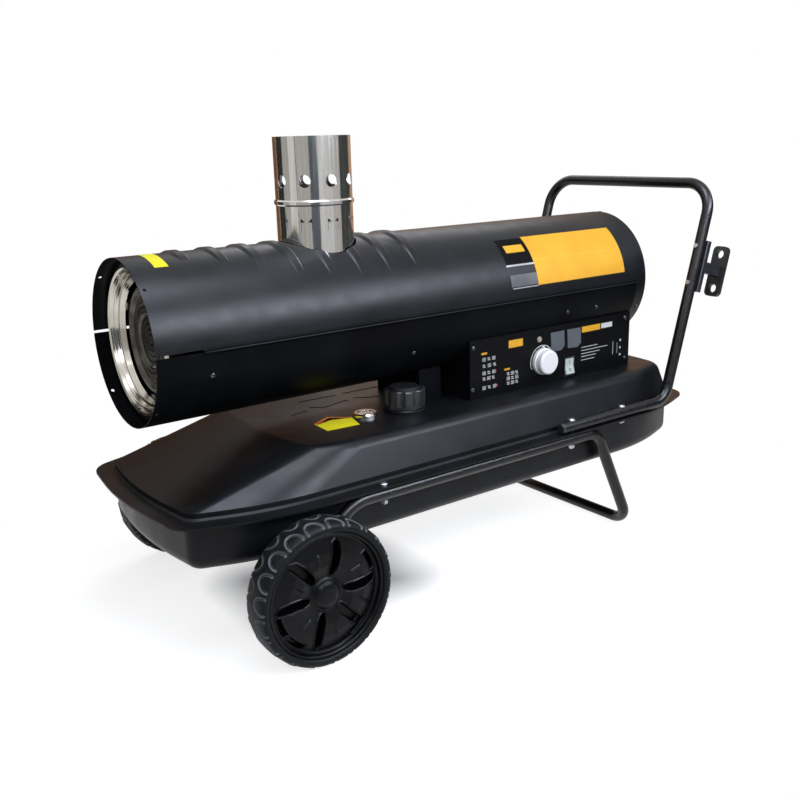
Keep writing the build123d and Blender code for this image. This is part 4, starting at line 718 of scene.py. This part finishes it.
# %% Closed slabs and joined shapes
def slab(front, back):
    """Closed slab between two grids of points (rows, cols, 3): both faces and a strip round the rim."""
    rows, cols = front.shape[:2]
    n = rows * cols
    index = np.arange(n).reshape(rows, cols)
    loop = np.concatenate([index[0, :-1], index[:-1, -1], index[-1, :0:-1], index[:0:-1, 0]])
    after = np.roll(loop, -1)
    rim = np.stack([loop, after, after + n, loop + n], axis=-1)
    face = grid_faces(rows, cols)
    points = np.concatenate([front.reshape(-1, 3), back.reshape(-1, 3)])
    return points, np.concatenate([face, face[:, ::-1] + n, rim])


def join(shapes):
    """Several (points, faces) as one."""
    offsets = np.cumsum([0] + [len(points) for points, _ in shapes[:-1]])
    return (np.concatenate([points for points, _ in shapes]),
            np.concatenate([faces + k for (_, faces), k in zip(shapes, offsets)]))


# %% A piece that rides on its body
def make_piece(name, shape, material, body="heater", replaces=(), smooth=False):
    """A mesh object from points in millimetres, riding on its body.

    A face that names its last point twice is a triangle.
    """
    points, faces = shape
    faces = outward(points, faces)
    mesh = bpy.data.meshes.new(name)
    triangle = faces[:, 2] == faces[:, 3]
    corners = [f[:3] if t else f for f, t in zip(faces.tolist(), triangle.tolist())]
    mesh.from_pydata((points * MM).tolist(), [], corners)
    mesh.polygons.foreach_set("use_smooth", np.full(len(corners), smooth))
    mesh.materials.append(material)
    mesh.update()
    piece = bpy.data.objects.new(name, mesh)
    bpy.context.scene.collection.objects.link(piece)
    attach(piece, body)
    if replaces:
        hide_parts(*replaces)
    print(name, "faces:", len(corners))
    return piece


# %% [markdown]
# ## Tyres
# The real tyre is solid rubber: a smooth band on the face, then a tread whose shoulders are cut into
# a ring of horseshoe-shaped grooves, out of step from side to side. It could be made by cutting one
# pad and repeating it. A formula is shorter and closes by itself: the section is carried round the
# axle, and the grooves are a depth taken off its radius.

# %% Sizes of the tread
TREAD_PADS = 20
SHOULDER_IN = 2.0         # where a shoulder starts, in from the tyre's face
GROOVE_REACH = 21.0       # how far a groove runs in from the shoulder
GROOVE_HALF = 0.40        # half the width of its horseshoe, as a share of a pad
GROOVE_BAND = (0.74, 0.84, 0.94, 1.04)      # q at which a groove starts, is deep, rises and ends
GROOVE_DEPTH = 2.4
PAD_DIP = 0.35            # depth of the pad inside a horseshoe, as a share of the groove's
SHOULDER_EASE = (-1.0, 3.0)       # that dip comes in between these ways in from the shoulder
TREAD_LIP = (7.5, 4.5)    # below the tyre's radius: where the grooves start and where they are full
SHEEN_SLOPE = (0.3, 1.1)  # steepness at which the painted highlight starts and is full
SHEEN_MOST = 0.8
OUTLINE_STEP = 1.1        # distance of two points of the section
OUTLINE_PASSES = 3        # how many times its corners are smoothed
TREAD_ROUND = 640         # points round the tyre
print("a pad's length on the tread:", round(2 * math.pi * WHEEL_R / TREAD_PADS, 1))


# %% An even outline, a smooth step and the tread's depth
def rounded(points, spacing, passes):
    """A closed outline resampled evenly, then smoothed by averaging each point with its neighbours."""
    ring = np.vstack([points, points[:1]])
    along = np.concatenate([[0], np.cumsum(np.hypot(*np.diff(ring, axis=0).T))])
    even = np.linspace(0, along[-1], int(along[-1] / spacing), endpoint=False)
    out = np.column_stack([np.interp(even, along, ring[:, k]) for k in (0, 1)])
    for _ in range(passes):
        out = 0.5 * out + 0.25 * (np.roll(out, 1, axis=0) + np.roll(out, -1, axis=0))
    return out


def ease(value, low, high):
    """0 below low, 1 above high, and a smooth S between."""
    t = np.clip((value - low) / (high - low), 0, 1)
    return t * t * (3 - 2 * t)


def tread_depth(turn, depth):
    """Depth of the grooves at a turn round the axle and a depth in from the face, both as arrays.

    At each shoulder, q is the length of the pair (way in / reach, place in the pad / half width). A
    horseshoe is the band where q is a little under 1, and the pad inside it lies a little lower.
    """
    total = np.zeros(np.broadcast(turn, depth).shape)
    for way_in, phase in ((depth - SHOULDER_IN, 0.0), (WHEEL_W - SHOULDER_IN - depth, 0.5)):
        pad = (TREAD_PADS * turn / (2 * np.pi) + phase) % 1.0 - 0.5
        q = np.sqrt((np.maximum(way_in, 0) / GROOVE_REACH) ** 2 + (pad / GROOVE_HALF) ** 2)
        past_inner, past_outer = ease(q, *GROOVE_BAND[:2]), ease(q, *GROOVE_BAND[2:])
        on_side = way_in > SHOULDER_EASE[0]
        total = np.maximum(total, past_inner * (1 - past_outer) * on_side)
        total = np.maximum(total, PAD_DIP * (1 - past_inner) * on_side * ease(way_in, *SHOULDER_EASE))
    return GROOVE_DEPTH * total


# %% Tyres
def tyre_shape(side):
    """Section (depth in from the face, radius) carried round the axle, less the tread's grooves.

    Returns its points, its faces and how strong the painted highlight is at each point.
    """
    half = np.array([
        (4, RIM_R), (1.4, RIM_R + 1.5), (0, RIM_R + 4.5), (0.5, WHEEL_R - 6.5),
        (3, WHEEL_R - 2.4), (9, WHEEL_R - 0.6), (19, WHEEL_R)])
    other_half = (np.array([WHEEL_W, 0]) + half * [-1, 1])[::-1]
    section = rounded(np.vstack([half, other_half]), OUTLINE_STEP, OUTLINE_PASSES)
    section[:, 0] = np.clip(section[:, 0], 0, WHEEL_W)
    turn = np.linspace(0, 2 * np.pi, TREAD_ROUND, endpoint=False)[:, None]
    depth, radius = section[None, :, 0], section[None, :, 1]
    on_tread = ease(radius, WHEEL_R - TREAD_LIP[0], WHEEL_R - TREAD_LIP[1])
    cut = on_tread * tread_depth(turn, depth)
    r = radius - cut
    x = WHEEL_X + r * np.cos(turn)
    y = side * (WHEEL_FACE_Y - depth) + 0 * r
    z = WHEEL_R + r * np.sin(turn)
    points = np.stack([x, y, z], axis=-1)
    faces = grid_faces(*points.shape[:2], close_rows=True, close_cols=True)
    # A highlight is painted where a groove's side is steep: change of depth round the tyre and across it.
    slopes = [(np.roll(cut, -1, axis) - np.roll(cut, 1, axis)) / 2 for axis in (0, 1)]
    painted_sheen = SHEEN_MOST * ease(np.hypot(*slopes), *SHEEN_SLOPE)
    return points.reshape(-1, 3), faces, painted_sheen.ravel()


SIDES = (("near", -1), ("far", 1))
for label, side in SIDES:
    points, faces, painted_sheen_at = tyre_shape(side)
    tyre = make_piece(f"tyre_tread_{label}", (points, faces), FINISHES["rubber_tread"],
                      body=f"wheel_{label}", replaces=[f"tyre_{label}"], smooth=True)
    # Each point's painted highlight goes on the mesh as an attribute.
    tyre.data.attributes.new("painted_sheen", "FLOAT", "POINT").data.foreach_set("value", painted_sheen_at)

# %% [markdown]
# ## Wheel hubs
# The moulded hub has six curved pockets with rolled edges, four short ones at its rim, and a rib on
# each petal. It could be cut from a solid, pocket by pocket. Here its face is one height field in polar
# coordinates: the turned profile, plus the rolls and ribs, less the pockets, closed by the plain back.

# %% Sizes of the hub
BORE_R = 7.06
FACE = np.array([         # radius, and depth behind the tyre's face
    (BORE_R, 13.0), (19.5, 13.0), (21.0, 8.5), (23.0, 8.5), (26.0, 11.5), (44.0, 7.0), (62.0, 7.0),
    (84.0, 12.5), (87.0, 12.0), (89.5, 4.0), (RIM_R, 4.0)])
BACK = np.array([
    (RIM_R, 46.0), (87.0, 46.0), (81.0, 25.0), (60.0, 25.0), (40.0, 25.0), (21.2, 25.0), (21.0, 53.4),
    (BORE_R, 53.4)])
POCKETS_AT = (76.0, 4.0, -47.0, -104.0, -176.0, 133.0)      # degrees round the axle
POCKET_DEPTH = 24.0       # how far the pockets' floor lies behind the tyre's face
POCKET_OUT = (24.5, 29, 38, 58, 76, 84)         # ways out along a pocket, from the axle
POCKET_HALF = (-4, 3.2, 6.0, 6.6, 5.4, -4)      # its half width there, under 0 where there is none
POCKET_BEND, BEND_FROM, BEND_LENGTH = 3.0, 25, 58
POCKET_EDGE = (-0.3, 1.5) # way in from a pocket's outline over which its wall goes down
ROLL_H, RIM_ROLL_H = 1.5, 1.2
ROLL_OUT, ROLL_W = 1.6, 1.3         # a roll's top, out from the outline, and the width of its bell
RIM_POCKETS_AT = (24.0, -52.0, -132.0, -160.0)
RIM_POCKET_R, RIM_POCKET_HALF, RIM_POCKET_LONG = 79.0, 3.6, 15.0
RIBS = [                  # degrees round the axle, inner and outer radius
    (33, 42, 66), (-21, 52, 80), (-76, 44, 66), (-135, 38, 60), (158, 40, 62), (106, 44, 66)]
RIB_H, RIB_W, RIB_EASE, RIB_BEND = 1.9, 1.7, 5, 0.004
RELIEF_TO = 88.0          # no roll or rib beyond this radius
HUB_ROUND = 720           # points round the hub
print("pockets:", len(POCKETS_AT) + len(RIM_POCKETS_AT), "ribs:", len(RIBS))

# %% Hub surfaces
def roll(off, height):
    """Bell curve just outside an outline, from the distance off it."""
    return height * np.exp(-((off - ROLL_OUT) / ROLL_W) ** 2)


def hub_depth(r, a):
    """Depth of the hub's face behind the tyre's, at radius r and angle a.

    A pocket is where the distance from its bent middle line is less than its half width w at u, the
    distance out along it. A short pocket at the rim is a stretch of a ring. Each has a roll round
    it, and a rib is a bell curve across its own line.
    """
    depth = np.interp(r, *FACE.T) + 0 * a
    rise, pit = np.zeros_like(depth), np.zeros_like(depth)
    for degrees in POCKETS_AT:
        turned = a - math.radians(degrees)
        u, v = r * np.cos(turned), r * np.sin(turned)
        w = np.interp(u, POCKET_OUT, POCKET_HALF)
        bend = POCKET_BEND * np.sin(np.pi * np.clip((u - BEND_FROM) / BEND_LENGTH, 0, 1))
        off = np.abs(v + bend) - w
        pit = np.maximum(pit, ease(-off, *POCKET_EDGE))
        rise = np.maximum(rise, roll(off, ROLL_H) * (w > -2))
    for degrees in RIM_POCKETS_AT:
        along = np.abs((a - math.radians(degrees) + np.pi) % (2 * np.pi) - np.pi) * r
        off = np.maximum(np.abs(r - RIM_POCKET_R) - RIM_POCKET_HALF, along - RIM_POCKET_LONG)
        pit = np.maximum(pit, ease(-off, *POCKET_EDGE))
        rise = np.maximum(rise, roll(off, RIM_ROLL_H))
    for degrees, r0, r1 in RIBS:
        turned = a - math.radians(degrees)
        v = r * np.sin(turned + RIB_BEND * (r - r0))
        length = ease(r, r0, r0 + RIB_EASE) * (1 - ease(r, r1 - RIB_EASE, r1)) * (np.cos(turned) > 0)
        rise = np.maximum(rise, RIB_H * np.exp(-(v / RIB_W) ** 2) * length)
    face = depth - rise * (r < RELIEF_TO)
    return face + (POCKET_DEPTH - face) * pit


def hub_shape(side):
    """Face rows from the bore out, then back rows from the rim in, each a full turn."""
    a = np.linspace(0, 2 * np.pi, HUB_ROUND, endpoint=False)[None, :]
    inner, outer = [BORE_R, 19.5, 20.2, 21.0, 23.0], [88.7, 89.5, 91.0, RIM_R]
    r = np.concatenate([inner, np.linspace(24.0, RELIEF_TO, 76), outer])[:, None]
    radius = np.concatenate([r + 0 * a, BACK[:, :1] + 0 * a])
    depth = np.concatenate([hub_depth(r, a), BACK[:, 1:] + 0 * a])
    x, z = WHEEL_X + radius * np.cos(a), WHEEL_R + radius * np.sin(a)
    points = np.stack([x, side * (WHEEL_FACE_Y - depth), z], axis=-1)
    return points.reshape(-1, 3), grid_faces(*points.shape[:2], close_rows=True, close_cols=True)


for label, side in SIDES:
    make_piece(f"hub_face_{label}", hub_shape(side), FINISHES["wheel_plastic"],
               body=f"wheel_{label}", replaces=[f"wheel_hub_{label}"], smooth=True)


# %% [markdown]
# ## Labels on the barrel
# The casing carries thin films here: an amber field, a black one and a grey one, all plain. A film
# follows the round of the casing, so each is a grid in length and angle, laid on the casing's radius
# and given its thickness. One that lies on another starts a hair above it.

# %% Films round the barrel
ANGLE_STEP = 1.5          # degrees between two points round the casing
LAYER_LIFT = 0.08         # how far a film on a film stands above it


def on_barrel(x, degrees, height):
    """Point on the casing: length, angle from the near side up over the top, and height off it."""
    a = np.radians(degrees)
    r = BARREL_R + height
    return np.stack(np.broadcast_arrays(x, -np.cos(a) * r, AXIS_Z + np.sin(a) * r), axis=-1)


def barrel_film(x0, x1, deg0, deg1, layer=0):
    """Slab on the casing between two lengths and two angles."""
    x = np.linspace(x0, x1, 3)[:, None]
    degrees = np.linspace(deg0, deg1, max(2, int(abs(deg1 - deg0) / ANGLE_STEP)))[None, :]
    top = LIFT + FILM + LAYER_LIFT * layer
    return slab(on_barrel(x, degrees, top), on_barrel(x, degrees, LIFT))


AMBER = printed_film("amber_vinyl_film", "#E6AD2C", "#DFA324")
PALE_AMBER = printed_film("pale_amber_vinyl_film", "#EEBB4A", "#E7B03E")
BLACK_FILM = printed_film("black_vinyl_film", "#060607", "#040405", 0.55, 1.12)
GREY_FILM = printed_film("grey_vinyl_film", "#66686C", "#4A4C50")
PALE_INK = printed_film("pale_grey_ink", "#BFC1C3", "#A9ABAE")
SUN_YELLOW = printed_film("yellow_vinyl_film", "#FBF31A", "#F3E914", 0.5, 1.3)

FIELD = (163.6, 385.5)    # the amber field, from and to along the casing
amber_fields = join([barrel_film(*FIELD, 31.0, 54.2), barrel_film(*FIELD, 9.6, 30.6)])
make_piece("side_film_amber", amber_fields, AMBER)
make_piece("side_film_amber_line", barrel_film(*FIELD, 30.6, 31.0), PALE_AMBER)
make_piece("side_film_black", barrel_film(100.5, 163.4, 28.9, 53.2), BLACK_FILM)
make_piece("side_film_plate", barrel_film(111.5, 154.5, 39.2, 46.4, layer=1), AMBER)
make_piece("side_film_grey", barrel_film(101.6, 163.4, 10.6, 20.2), GREY_FILM)
lines = join([barrel_film(99.4, 163.4, 27.2, 28.7), barrel_film(104.0, 163.4, 9.0, 9.7)])
make_piece("side_film_lines", lines, PALE_INK)
make_piece("mouth_film_yellow", barrel_film(-497.0, -477.0, 64.0, 92.0), SUN_YELLOW)


# %% [markdown]
# ## Hem along the casing's ledge
# The lower half of the casing has a ledge on each side that the upper half rests on. Its edge is
# folded over, and the small round of that fold catches the light as one fine line. It is a thin
# roll carried along the barrel, with its ends drawn to a point.

# %% Hem rolls
LEDGE_FROM, LEDGE_TO = -465.0, 418.0
LEDGE_Y, LEDGE_SEAT_Z = BARREL_R + 5.8, AXIS_Z - 1.2
HEM_R, HEM_TIP_R = 0.85, 0.02
HEM_TIP = 0.6             # length of each drawn-out end
HEM_ALONG, HEM_AROUND = 12, 10      # points between the ends, and round the roll


def hem_roll(side):
    """Circle carried along x, of one radius except at the two ends, each closed by a fan."""
    run = np.linspace(LEDGE_FROM + HEM_TIP, LEDGE_TO - HEM_TIP, HEM_ALONG)
    x = np.concatenate([[LEDGE_FROM], run, [LEDGE_TO]])[:, None]
    radius = np.full_like(x, HEM_R)
    radius[[0, -1]] = HEM_TIP_R
    a = np.linspace(0, 2 * np.pi, HEM_AROUND, endpoint=False)[None, :]
    y, z = side * LEDGE_Y + radius * np.cos(a), LEDGE_SEAT_Z + radius * np.sin(a)
    points = np.stack([x + 0 * a, y, z], axis=-1)
    index = np.arange(y.size).reshape(y.shape)
    fans = []
    for ring in (index[0], index[-1, ::-1]):
        centre = np.full(HEM_AROUND - 2, ring[0])
        fans.append(np.column_stack([ring[1:-1], ring[2:], centre, centre]))
    return points.reshape(-1, 3), np.concatenate([grid_faces(*y.shape, close_cols=True), *fans])


hems = join([hem_roll(side) for _, side in SIDES])
make_piece("ledge_hems", hems, FINISHES["black_paint"], smooth=True)

# %% [markdown]
# ## Marks on the control panel
# The panel's film is printed with plain signs, bars and plates, and the knob's ring has an arc with
# ticks. They could be painted on with a texture, but as thin slabs they stay sharp from near by. Flat
# outlines are given a thickness and placed by one function for each face.

# %% Flat shapes on the panel
ARC_STEP = 5              # degrees between two points of an arc


def on_panel(x, z, height):
    """Point on the panel, height off its face."""
    return np.stack(np.broadcast_arrays(x, PANEL_Y - height, z), axis=-1)


def on_tank(x, y, height):
    """Point on the tank's top, height above it."""
    return np.stack(np.broadcast_arrays(x, y, TANK_TOP_Z + height), axis=-1)


def flat_bar(x0, x1, z0, z1, place=on_panel):
    """Rectangular slab on a flat face."""
    x = np.array([x0, x1])[:, None]
    z = np.array([z0, z1])[None, :]
    return slab(place(x, z, LIFT + FILM), place(x, z, LIFT))


def fan_slab(outline, place=on_panel, layer=0):
    """Slab from an outline: on both faces a triangle runs from each of its edges to its middle."""
    outline = np.array(outline, float)
    n = len(outline)
    points = np.vstack([outline, outline.mean(axis=0)])
    front = place(points[:, 0], points[:, 1], LIFT + FILM + LAYER_LIFT * layer)
    back = place(points[:, 0], points[:, 1], LIFT)
    i = np.arange(n)
    j = (i + 1) % n
    face = np.column_stack([i, j, np.full(n, n), np.full(n, n)])
    under = np.column_stack([j, i, np.full(n, n), np.full(n, n)]) + n + 1
    rim = np.column_stack([j, i, i + n + 1, j + n + 1])
    return np.concatenate([front, back]), np.concatenate([face, under, rim])


def arc_slab(centre, r0, r1, deg0, deg1, place=on_panel):
    """Slab between two radii and two angles."""
    r = np.array([r0, r1])[:, None]
    a = np.radians(np.linspace(deg0, deg1, max(2, int(abs(deg1 - deg0) / ARC_STEP))))[None, :]
    x, z = centre[0] + r * np.cos(a), centre[1] + r * np.sin(a)
    return slab(place(x, z, LIFT + FILM), place(x, z, LIFT))


# %% Scale on the knob's ring
KNOB_AT = (184.0, 326.4)
DIAL_T = 1.0              # thickness of the ring
DIAL_FROM, DIAL_TO, DIAL_STEP = -20, 205, 25      # degrees


def on_dial(x, z, height):
    """Point on the dial ring, which stands off the panel."""
    return on_panel(x, z, DIAL_T + height)


def tick(centre, degrees, r0, r1, width, place):
    """Radial bar of that width."""
    a = math.radians(degrees)
    along = np.array([math.cos(a), math.sin(a)])
    across = np.array([-math.sin(a), math.cos(a)]) * width / 2
    ends = [along * r + side for r, side in ((r0, -across), (r1, -across), (r1, across), (r0, across))]
    return fan_slab([np.array(centre) + e for e in ends], place)


WHITE_INK = printed_film("white_panel_ink", "#D9DBDD", "#C8CACC")
STEEL_INK = printed_film("grey_panel_label", "#5A6067", "#50565D")
RED_INK = printed_film("red_panel_ink", "#B3282C", "#A02024")

dial = [arc_slab(KNOB_AT, 27.6, 28.8, DIAL_FROM, DIAL_TO, on_dial)]
dial += [tick(KNOB_AT, degrees, 25.4, 27.2, 0.7, on_dial)
         for degrees in range(DIAL_FROM, DIAL_TO + 1, DIAL_STEP)]
make_piece("dial_arc", join(dial), WHITE_INK)

# %% Signs, lines and plates
SIGN_ROWS = [             # from and to along the panel, and height
    (44, 72, 350), (44, 74, 338.5), (44, 72, 326), (44, 71, 316), (44, 74, 300), (100, 126, 316),
    (100, 126, 307.5), (100, 126, 299)]
SIGNS_IN_ROW, SIGN_W = 3, 6
NOTE_X, NOTE_HALF = 286, 0.55       # start of the lines of small print, and half a line's width
NOTES = ((335, 44), (329, 71), (323, 50), (317.5, 40), (311, 36))     # height and length of each
SQUARES = (334, 319.5, 306)         # heights of the squares at the panel's end


def pictogram(x, z, kind):
    """Plain sign up to 6 mm high: a frame with a bar in it, or two bars out of step."""
    if kind == 0:
        edges = [(x, x + 7, z + 2.2, z + 3), (x, x + 7, z - 3, z - 2.2), (x, x + 0.9, z - 2.2, z + 2.2),
                 (x + 6.1, x + 7, z - 2.2, z + 2.2), (x + 2.2, x + 4.8, z - 1.2, z + 1.2)]
    else:
        edges = [(x, x + 5.5, z + 0.8, z + 2.4), (x + 1, x + 6.5, z - 2.4, z - 0.8)]
    return [flat_bar(*edge) for edge in edges]


marks = []
for index, (x0, x1, z) in enumerate(SIGN_ROWS):
    for k in range(SIGNS_IN_ROW):
        marks += pictogram(x0 + k * (x1 - x0 - SIGN_W) / (SIGNS_IN_ROW - 1), z, (index + k) % 2)
marks += [flat_bar(NOTE_X, NOTE_X + length, z - NOTE_HALF, z + NOTE_HALF) for z, length in NOTES]
marks += [flat_bar(372, 373, 309, 334), flat_bar(384, 384.8, 310, 330)]
marks += [flat_bar(391, 395, z - 2, z + 2) for z in SQUARES]
marks += [arc_slab((206.5, 300.5), 1.6, 3.0, 0, 359), flat_bar(338, 368, 364, 373.5)]
make_piece("panel_marks_white", join(marks), WHITE_INK)
red_marks = join([flat_bar(72.5, 76, 324.5, 327.5), flat_bar(75.5, 79, 298.5, 301.5)])
make_piece("panel_marks_red", red_marks, RED_INK)
plates = [
    flat_bar(104, 137.5, 361.2, 374.6), flat_bar(41.5, 54, 358.6, 362.2),
    flat_bar(94, 107, 323, 326.4), flat_bar(286.5, 335, 363, 374)]
make_piece("panel_plates_amber", join(plates), AMBER)
stickers = [
    fan_slab([(205.8, 374), (240, 374.3), (241.8, 345.6), (233, 338), (208.6, 339.6)]),
    fan_slab([(247.8, 374.4), (283, 373.6), (284.6, 344.8), (275.6, 338), (250.4, 339.4)])]
make_piece("panel_stickers", join(stickers), STEEL_INK)

# %% [markdown]
# ## Marks on the moving switch, the gauge and the tank
# The switch's line and ring say on and off. They are laid on the rocker as it rests, tipped by 7
# degrees, and hang from a body named after it. Under the gauge's window lies a white dial with ticks.
# Beside the gauge the tank has a plain film in yellow, with orange along one edge.

# %% Switch marks
ROCKER_AT = (253.5, -105.5, 305.0)      # the rocker's pivot
ROCKER_REST = math.radians(-7.0)
ROCKER_OUT, ROCKER_DIP, ROCKER_HALF = 8.0, 2.4, 14.2


def on_rocker(x, z, height):
    """Point on the rocker's shallow V, which is 8 mm ahead of its pivot, tipped with it by 7 degrees."""
    dz = z - ROCKER_AT[2]
    dy = -ROCKER_OUT + ROCKER_DIP * (1 - np.abs(dz) / ROCKER_HALF) - height
    c, s = math.cos(ROCKER_REST), math.sin(ROCKER_REST)
    y, z = ROCKER_AT[1] + dy * c - dz * s, ROCKER_AT[2] + dy * s + dz * c
    return np.stack(np.broadcast_arrays(x, y, z), axis=-1)


GREY_INK = printed_film("grey_switch_ink", "#5E6664", "#555C5A")
line = flat_bar(252.8, 254.2, 308.5, 315.0, on_rocker)
ring = arc_slab((253.5, 298.0), 2.0, 3.2, 0, 359, on_rocker)
make_piece("switch_marks", join([line, ring]), GREY_INK, body="switch_rocker")

# %% Gauge dial and tank film
GAUGE_AT = (-170.0, -66.0)
DIAL_Z = -1.4             # the gauge's dial lies in its cup, under the tank's top
TICK_LIFT = 0.2           # its ticks stand this far above it


def on_gauge(x, y, height):
    """Point on the gauge's dial."""
    return on_tank(x, y, DIAL_Z + height)


make_piece("gauge_dial", arc_slab(GAUGE_AT, 2.2, 14.2, 0, 360, on_gauge), WHITE_INK)
gauge_ticks = [tick(GAUGE_AT, degrees, 9.5, 12.6, 0.8, lambda x, y, h: on_gauge(x, y, h + TICK_LIFT))
               for degrees in range(-80, 41, 20)]
make_piece("gauge_ticks", join(gauge_ticks), BLACK_FILM)

ORANGE = printed_film("orange_vinyl_film", "#E4581C", "#D34A14")
yellow = [(-258, -50), (-221.5, -29), (-190.6, -56), (-203, -98), (-260, -94)]
orange = [(-257, -50.5), (-221.5, -30.5), (-193, -55), (-196, -58), (-221.5, -36.5), (-256, -56)]
make_piece("tank_film_yellow", fan_slab(yellow, on_tank), SUN_YELLOW)
make_piece("tank_film_orange", fan_slab(orange, on_tank, layer=1), ORANGE)


# %% [markdown]
# ## Screw heads
# Sheet-metal screws have a low dome with a cross recess. One head is a polar grid whose height is the
# dome less the recess. It is then set square to the casing or the panel wherever a screw goes.

# %% One screw head
HEAD_R, HEAD_H = 4.0, 2.2
HEAD_DROP = 0.55          # how much lower the dome is at its edge, as a share of its height
HEAD_SEAT = 0.08          # clear of the sheet
CROSS_DEPTH, CROSS_HALF, CROSS_END = 1.2, (0.30, 0.55), (2.0, 2.3)
HEAD_AROUND = 40


def screw_head():
    """Dome h = H (1 - drop (r / R) to the third), less a cross-shaped recess, on a short skirt."""
    r = np.array([0.35, 0.7, 1.0, 1.3, 1.6, 1.9, 2.1, 2.3, 2.6, 3.0, 3.4, 3.8, HEAD_R])[:, None]
    a = np.linspace(0, 2 * np.pi, HEAD_AROUND, endpoint=False)[None, :]
    x, y = r * np.cos(a), r * np.sin(a)
    slot = 1 - ease(np.minimum(np.abs(x), np.abs(y)), *CROSS_HALF)
    cross = slot * (1 - ease(r, *CROSS_END))
    z = HEAD_H * (1 - HEAD_DROP * (r / HEAD_R) ** 3) - CROSS_DEPTH * cross
    top = np.stack([x, y, z], axis=-1)
    skirt = np.stack([x[-1], y[-1], 0 * x[-1] + HEAD_SEAT], axis=-1)[None]
    grid = np.concatenate([top, skirt])
    rows = len(grid)
    poles = [(0, 0, HEAD_H - CROSS_DEPTH), (0, 0, HEAD_SEAT)]
    i = np.arange(HEAD_AROUND)
    j = (i + 1) % HEAD_AROUND
    upper, lower = np.full(HEAD_AROUND, rows * HEAD_AROUND), np.full(HEAD_AROUND, rows * HEAD_AROUND + 1)
    k = (rows - 1) * HEAD_AROUND
    fans = [np.column_stack([j, i, upper, upper]), np.column_stack([i + k, j + k, lower, lower])]
    faces = np.concatenate([grid_faces(rows, HEAD_AROUND, close_cols=True), *fans])
    return np.concatenate([grid.reshape(-1, 3), poles]), faces


HEAD = screw_head()
print("points of a screw head:", len(HEAD[0]))


# %% A head set on its place
def set_head(shape, origin, out, turn):
    """The head moved to origin with its axis along out, turned about it."""
    out = np.array(out, float) / np.linalg.norm(out)
    side = np.cross(out, (1.0, 0.0, 0.0) if abs(out[0]) < 0.9 else (0.0, 1.0, 0.0))
    side /= np.linalg.norm(side)
    third = np.cross(out, side)
    c, s = math.cos(turn), math.sin(turn)
    axes = np.array([c * side + s * third, -s * side + c * third, out])
    return shape[0] @ axes + np.array(origin), shape[1]


# %% Black zinc plating
def black_zinc():
    """Black chromate over zinc: dark metal with a cloudy grey-blue tone."""
    steel = finish("black_zinc_plate", "#3A3D41", 0.34, {"Metallic": 1.0})
    tones(steel, cells(steel, 2.0), "#2C2F33", "#4B4F54")
    return steel


DARK_ZINC = black_zinc()
print("screws:", DARK_ZINC.name)

# %% Heads where the screws go
LOWER_SCREWS = [(-453.0, -18.0), (-98.0, -31.0), (241.0, -18.0), (316.0, -18.0)]    # x and degrees
COVER_SCREWS = [(435.0, degrees) for degrees in (85.0, 205.0, -25.0)]
PANEL_SCREWS = [(24.0, 373.0), (22.0, 300.0), (404.0, 376.0), (408.0, 297.0)]       # x and z
CASING_TURN, PANEL_TURN = 0.7, 0.5        # each recess is turned this much more than the last, in radians

both_sides = [(x, d) for x, degrees in LOWER_SCREWS for d in (degrees, 180 - degrees)]
heads = []
for index, (x, degrees) in enumerate(both_sides + COVER_SCREWS):
    a = math.radians(degrees)
    out = (0, -math.cos(a), math.sin(a))
    heads.append(set_head(HEAD, on_barrel(x, degrees, 0.0), out, CASING_TURN * index))
make_piece("casing_screw_heads", join(heads), DARK_ZINC,
           replaces=["casing_screws"], smooth=True)
heads = [set_head(HEAD, on_panel(x, z, 0.0), (0, -1, 0), PANEL_TURN * k)
         for k, (x, z) in enumerate(PANEL_SCREWS)]
make_piece("panel_screw_heads", join(heads), DARK_ZINC,
           replaces=["panel_screws"], smooth=True)
